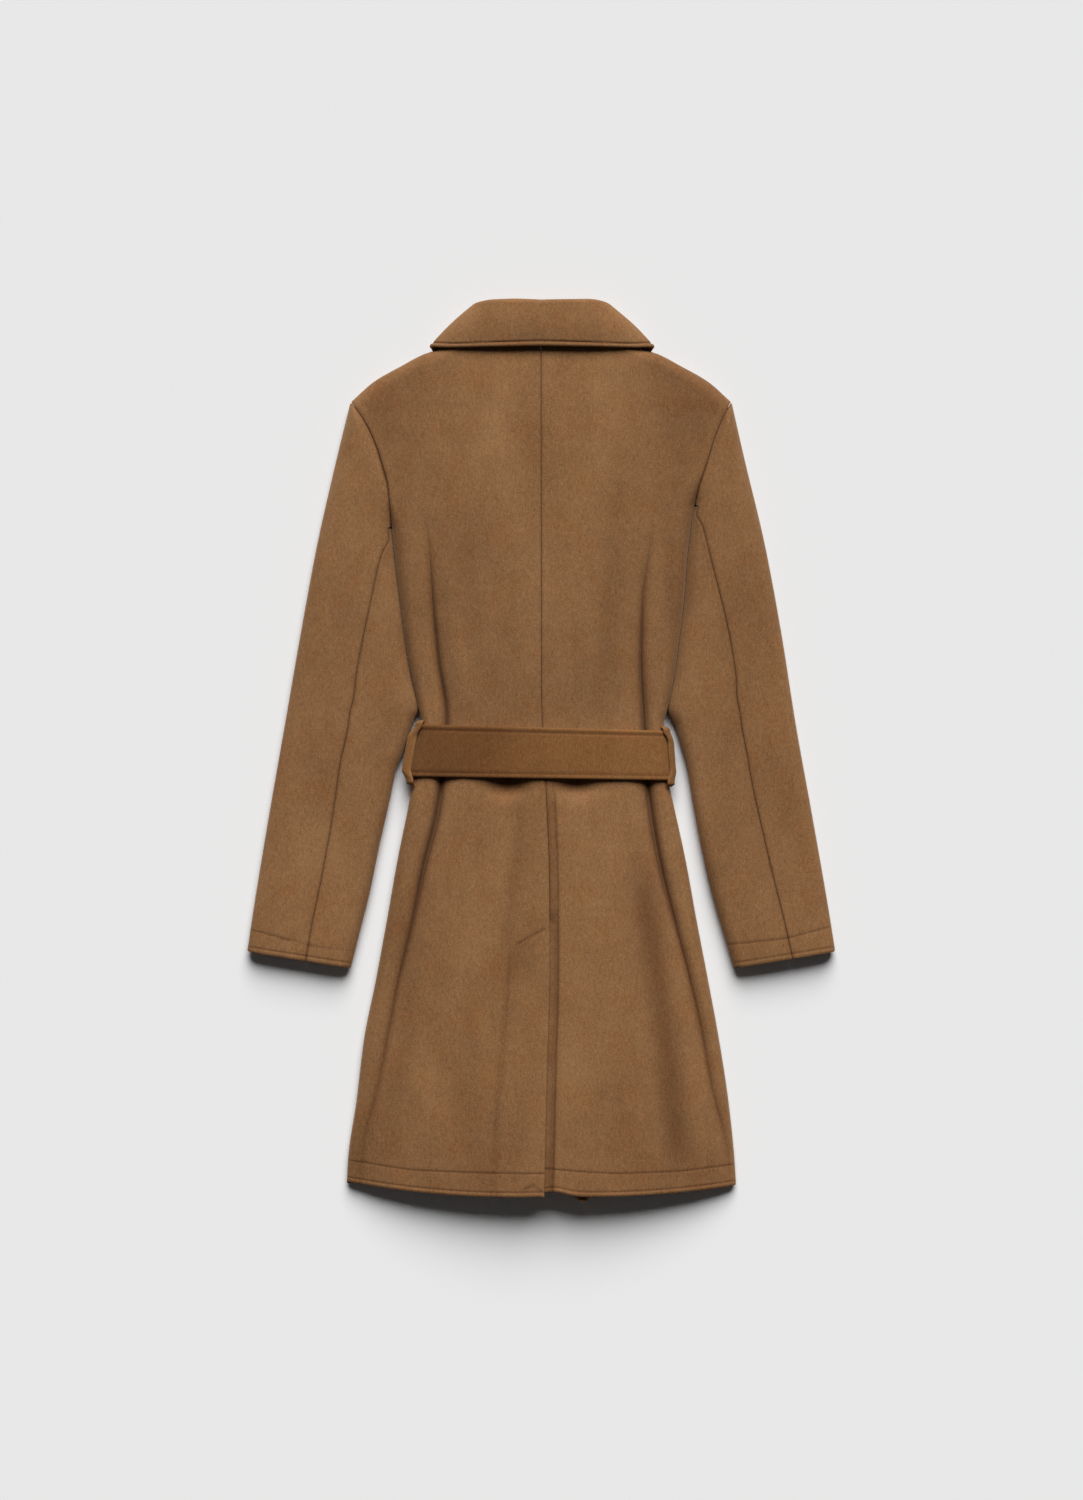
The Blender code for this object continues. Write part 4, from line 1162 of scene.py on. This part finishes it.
def beltSide(side, yAt, outward):
    edge = float(edgeX(side, yAt(belt["slopes"] * side)))
    y = yAt(edge)
    rim, radius = [float(reading(girths, column, y)) for column in ("seam", "round")]
    under = np.concatenate([[22, 18.5, 15, 12], underRound * rolledEdge])
    over = np.concatenate([radius * rolledEdge[-2::-1], [12, 15, 18, 22, 26]])
    x = edge - side * np.concatenate([under, over])
    low = meet(beltLift, rim, under, underRound)
    high = meet(topHeight(x[len(under) :], y, side, folds=False), rim, over, radius)
    line = np.column_stack([x, np.concatenate([low, high])])
    line = (line + acrossLine(line, side) * (stackGap + outward))[1:-1]
    line[:, 0] += side * beltSlack * smooth((side * (line[:, 0] - edge) + 20) / 14)
    return np.column_stack([line[:, 0], yAt(line[:, 0]), line[:, 1]])


def beltSection(yAt, outward):
    right = beltSide(1, yAt, outward)
    left = beltSide(-1, yAt, outward)[::-1]
    low = beltLift - stackGap - outward
    first = np.linspace(beltLap[0], right[0, 0], 20)[:-1]
    across = np.linspace(right[-1, 0], left[0, 0], 70)[1:-1]
    last = np.concatenate([np.linspace(left[-1, 0], -88, 6)[1:], np.linspace(-86, beltLap[1], 40)])
    sides = np.where(across < 0, -1, 1)
    tops = [float(topHeight(x, yAt(x), side, folds=False)) for x, side in zip(across, sides)]
    over = [top + stackGap + outward for top in tops]
    climb = (beltCloth + stackGap) * smooth((last + 88) / 32)
    stretches = [
        np.column_stack([first, yAt(first), np.full(len(first), low)]),
        right,
        np.column_stack([across, yAt(across), over]),
        left,
        np.column_stack([last, yAt(last), low + climb]),
    ]
    return np.concatenate(stretches)


def buildBelt():
    rowsOut, rowsIn = [], []
    width = beltTop[0] - beltBottom[0]
    shares = (1 - np.cos(np.linspace(0, np.pi, belt["rows"]))) / 2
    for s in shares:
        left = beltBottom[0] + (beltTop[0] - beltBottom[0]) * s
        right = beltBottom[1] + (beltTop[1] - beltBottom[1]) * s

        def yAt(x, left=left, right=right):
            reach = belt["slopes"]
            return left + (right - left) * (np.clip(x, -reach, reach) + reach) / (2 * reach)

        fromEdge = min(s, 1 - s) * width
        relief = -0.75 * hump(fromEdge - belt["edgeStrip"], 1.0) + 0.25 * hump(fromEdge - 2.8, 1.6)
        relief -= 1.5 * (1 - roll(fromEdge, belt["edgeRound"]))
        rowsOut.append(beltSection(yAt, beltCloth + relief))
        rowsIn.append(beltSection(yAt, 0.7 * (1 - roll(fromEdge, belt["edgeRound"]))))
    outer, inner = np.array(rowsOut), np.array(rowsIn)
    top = outer[..., 2] > 20
    outer[..., 2] += np.where(top, 0.5 * ripple(outer[..., 0], outer[..., 1], 70, 41), 0)
    # painted shade: the belt's top darkens towards its left end, turned from the light, and along the groove
    # of each edge strip
    towardsLeft = smooth((60 - outer[..., 0]) / 190)
    fromEdge = np.minimum(shares, 1 - shares)[:, None] * width
    shade = np.where(top, 0.62 * towardsLeft, 0) + 0.55 * hump(fromEdge - belt["edgeStrip"], 1.0)
    piece = addSheet("waistBelt", outer, inner, beltWool, shade, flip=True)
    dress(piece, "belt", restsOn=["back_left", "back_right"])


def buildLoop(side):
    name = sideName(side)
    top, bottom = loop["ends"][name]
    low, high, highMiddle = loop["turn"]
    shares = np.linspace(0, 1, loop["across"])
    places = np.arange(loop["across"])
    edge = 0.5 * (1 - roll(np.minimum(places, places[::-1]), 2.0))[:, None]
    outer, inner = [], []
    for y in np.linspace(top, bottom, loop["along"]):
        roof, rim, radius = [float(reading(girths, column, y)) for column in ("side", "seam", "round")]
        middle = smooth((top - 4 - y) / 14) * smooth((y - bottom - 4) / 14)
        angles = np.radians(low + (high + (highMiddle - high) * middle - low) * shares)
        facing = np.column_stack([side * np.cos(angles), np.sin(angles)])
        x = edgeX(side, y) - side * radius * (1 - np.cos(angles))
        over = smooth((top + 1 - y) / loop["climb"]) * smooth((y - bottom + 1) / loop["climb"])
        out = seamGap + over * (beltCloth + loop["room"]) + loop["bow"][name] * middle * (1 - shares[:, None])
        surface = np.column_stack([x, rim + (roof - rim) * np.sin(angles)])
        for grid, thick in ((outer, loop["cloth"] - edge), (inner, edge)):
            points = surface + facing * (out + thick)
            grid.append(np.column_stack([points[:, 0], np.full(len(x), y), points[:, 1]]))
    piece = addSheet("beltLoop" + sideTitle(side), np.array(outer), np.array(inner), beltWool, flip=side > 0)
    dress(piece, "belt_loop_" + name, restsOn=["belt"])


buildBelt()
for side in (-1, 1):
    buildLoop(side)
print("belt and loops made")

# Floor, camera and light.
studio = {
    "frameHigh": 1.63,
    "lens": 100.0,
    "sensor": 36.0,
    "centre": (0.0005, -0.0016),
    "key": {"strength": 4.80, "softness": 43, "azimuth": 6, "elevation": 38.5},
    "world": 0.045,
}


def floorMaterial():
    graph = Graph("paleFloor")
    colour = graph.mix(graph.noise(graph.place, 300.0), (0.80, 0.80, 0.80, 1), (0.81, 0.81, 0.81, 1))
    return graph.finish({"Base Color": colour, "Roughness": 0.9, "Specular IOR Level": 0.1})


bpy.ops.mesh.primitive_plane_add(size=14, location=(0, 0, -0.0003))
floor = bpy.context.object
floor.name = "floor"
floor.data.materials.append(floorMaterial())

distance = studio["frameHigh"] * studio["lens"] / studio["sensor"]
bpy.ops.object.camera_add(location=(*studio["centre"], distance), rotation=(0, 0, 0))
camera = bpy.context.object
camera.data.sensor_fit = "VERTICAL"
camera.data.sensor_height = studio["sensor"]
camera.data.lens = studio["lens"]
camera.data.clip_end = 40
bpy.context.scene.camera = camera


def addKey(settings):
    a, e = np.radians(settings["azimuth"]), np.radians(settings["elevation"])
    towards = Vector((np.cos(e) * np.sin(a), np.cos(e) * np.cos(a), np.sin(e)))
    bpy.ops.object.light_add(type="SUN", location=towards * 3)
    light = bpy.context.object
    light.name = "keyLight"
    light.data.energy = settings["strength"]
    light.data.angle = np.radians(settings["softness"])
    light.rotation_euler = (-towards).to_track_quat("-Z", "Y").to_euler()


addKey(studio["key"])
world = bpy.data.worlds.new("studio")
bpy.context.scene.world = world
world.use_nodes = True
background = world.node_tree.nodes["Background"]
background.inputs["Color"].default_value = (1, 1, 1, 1)
background.inputs["Strength"].default_value = studio["world"]
bpy.context.scene.view_settings.view_transform = "Standard"
print("floor, camera and lights made")
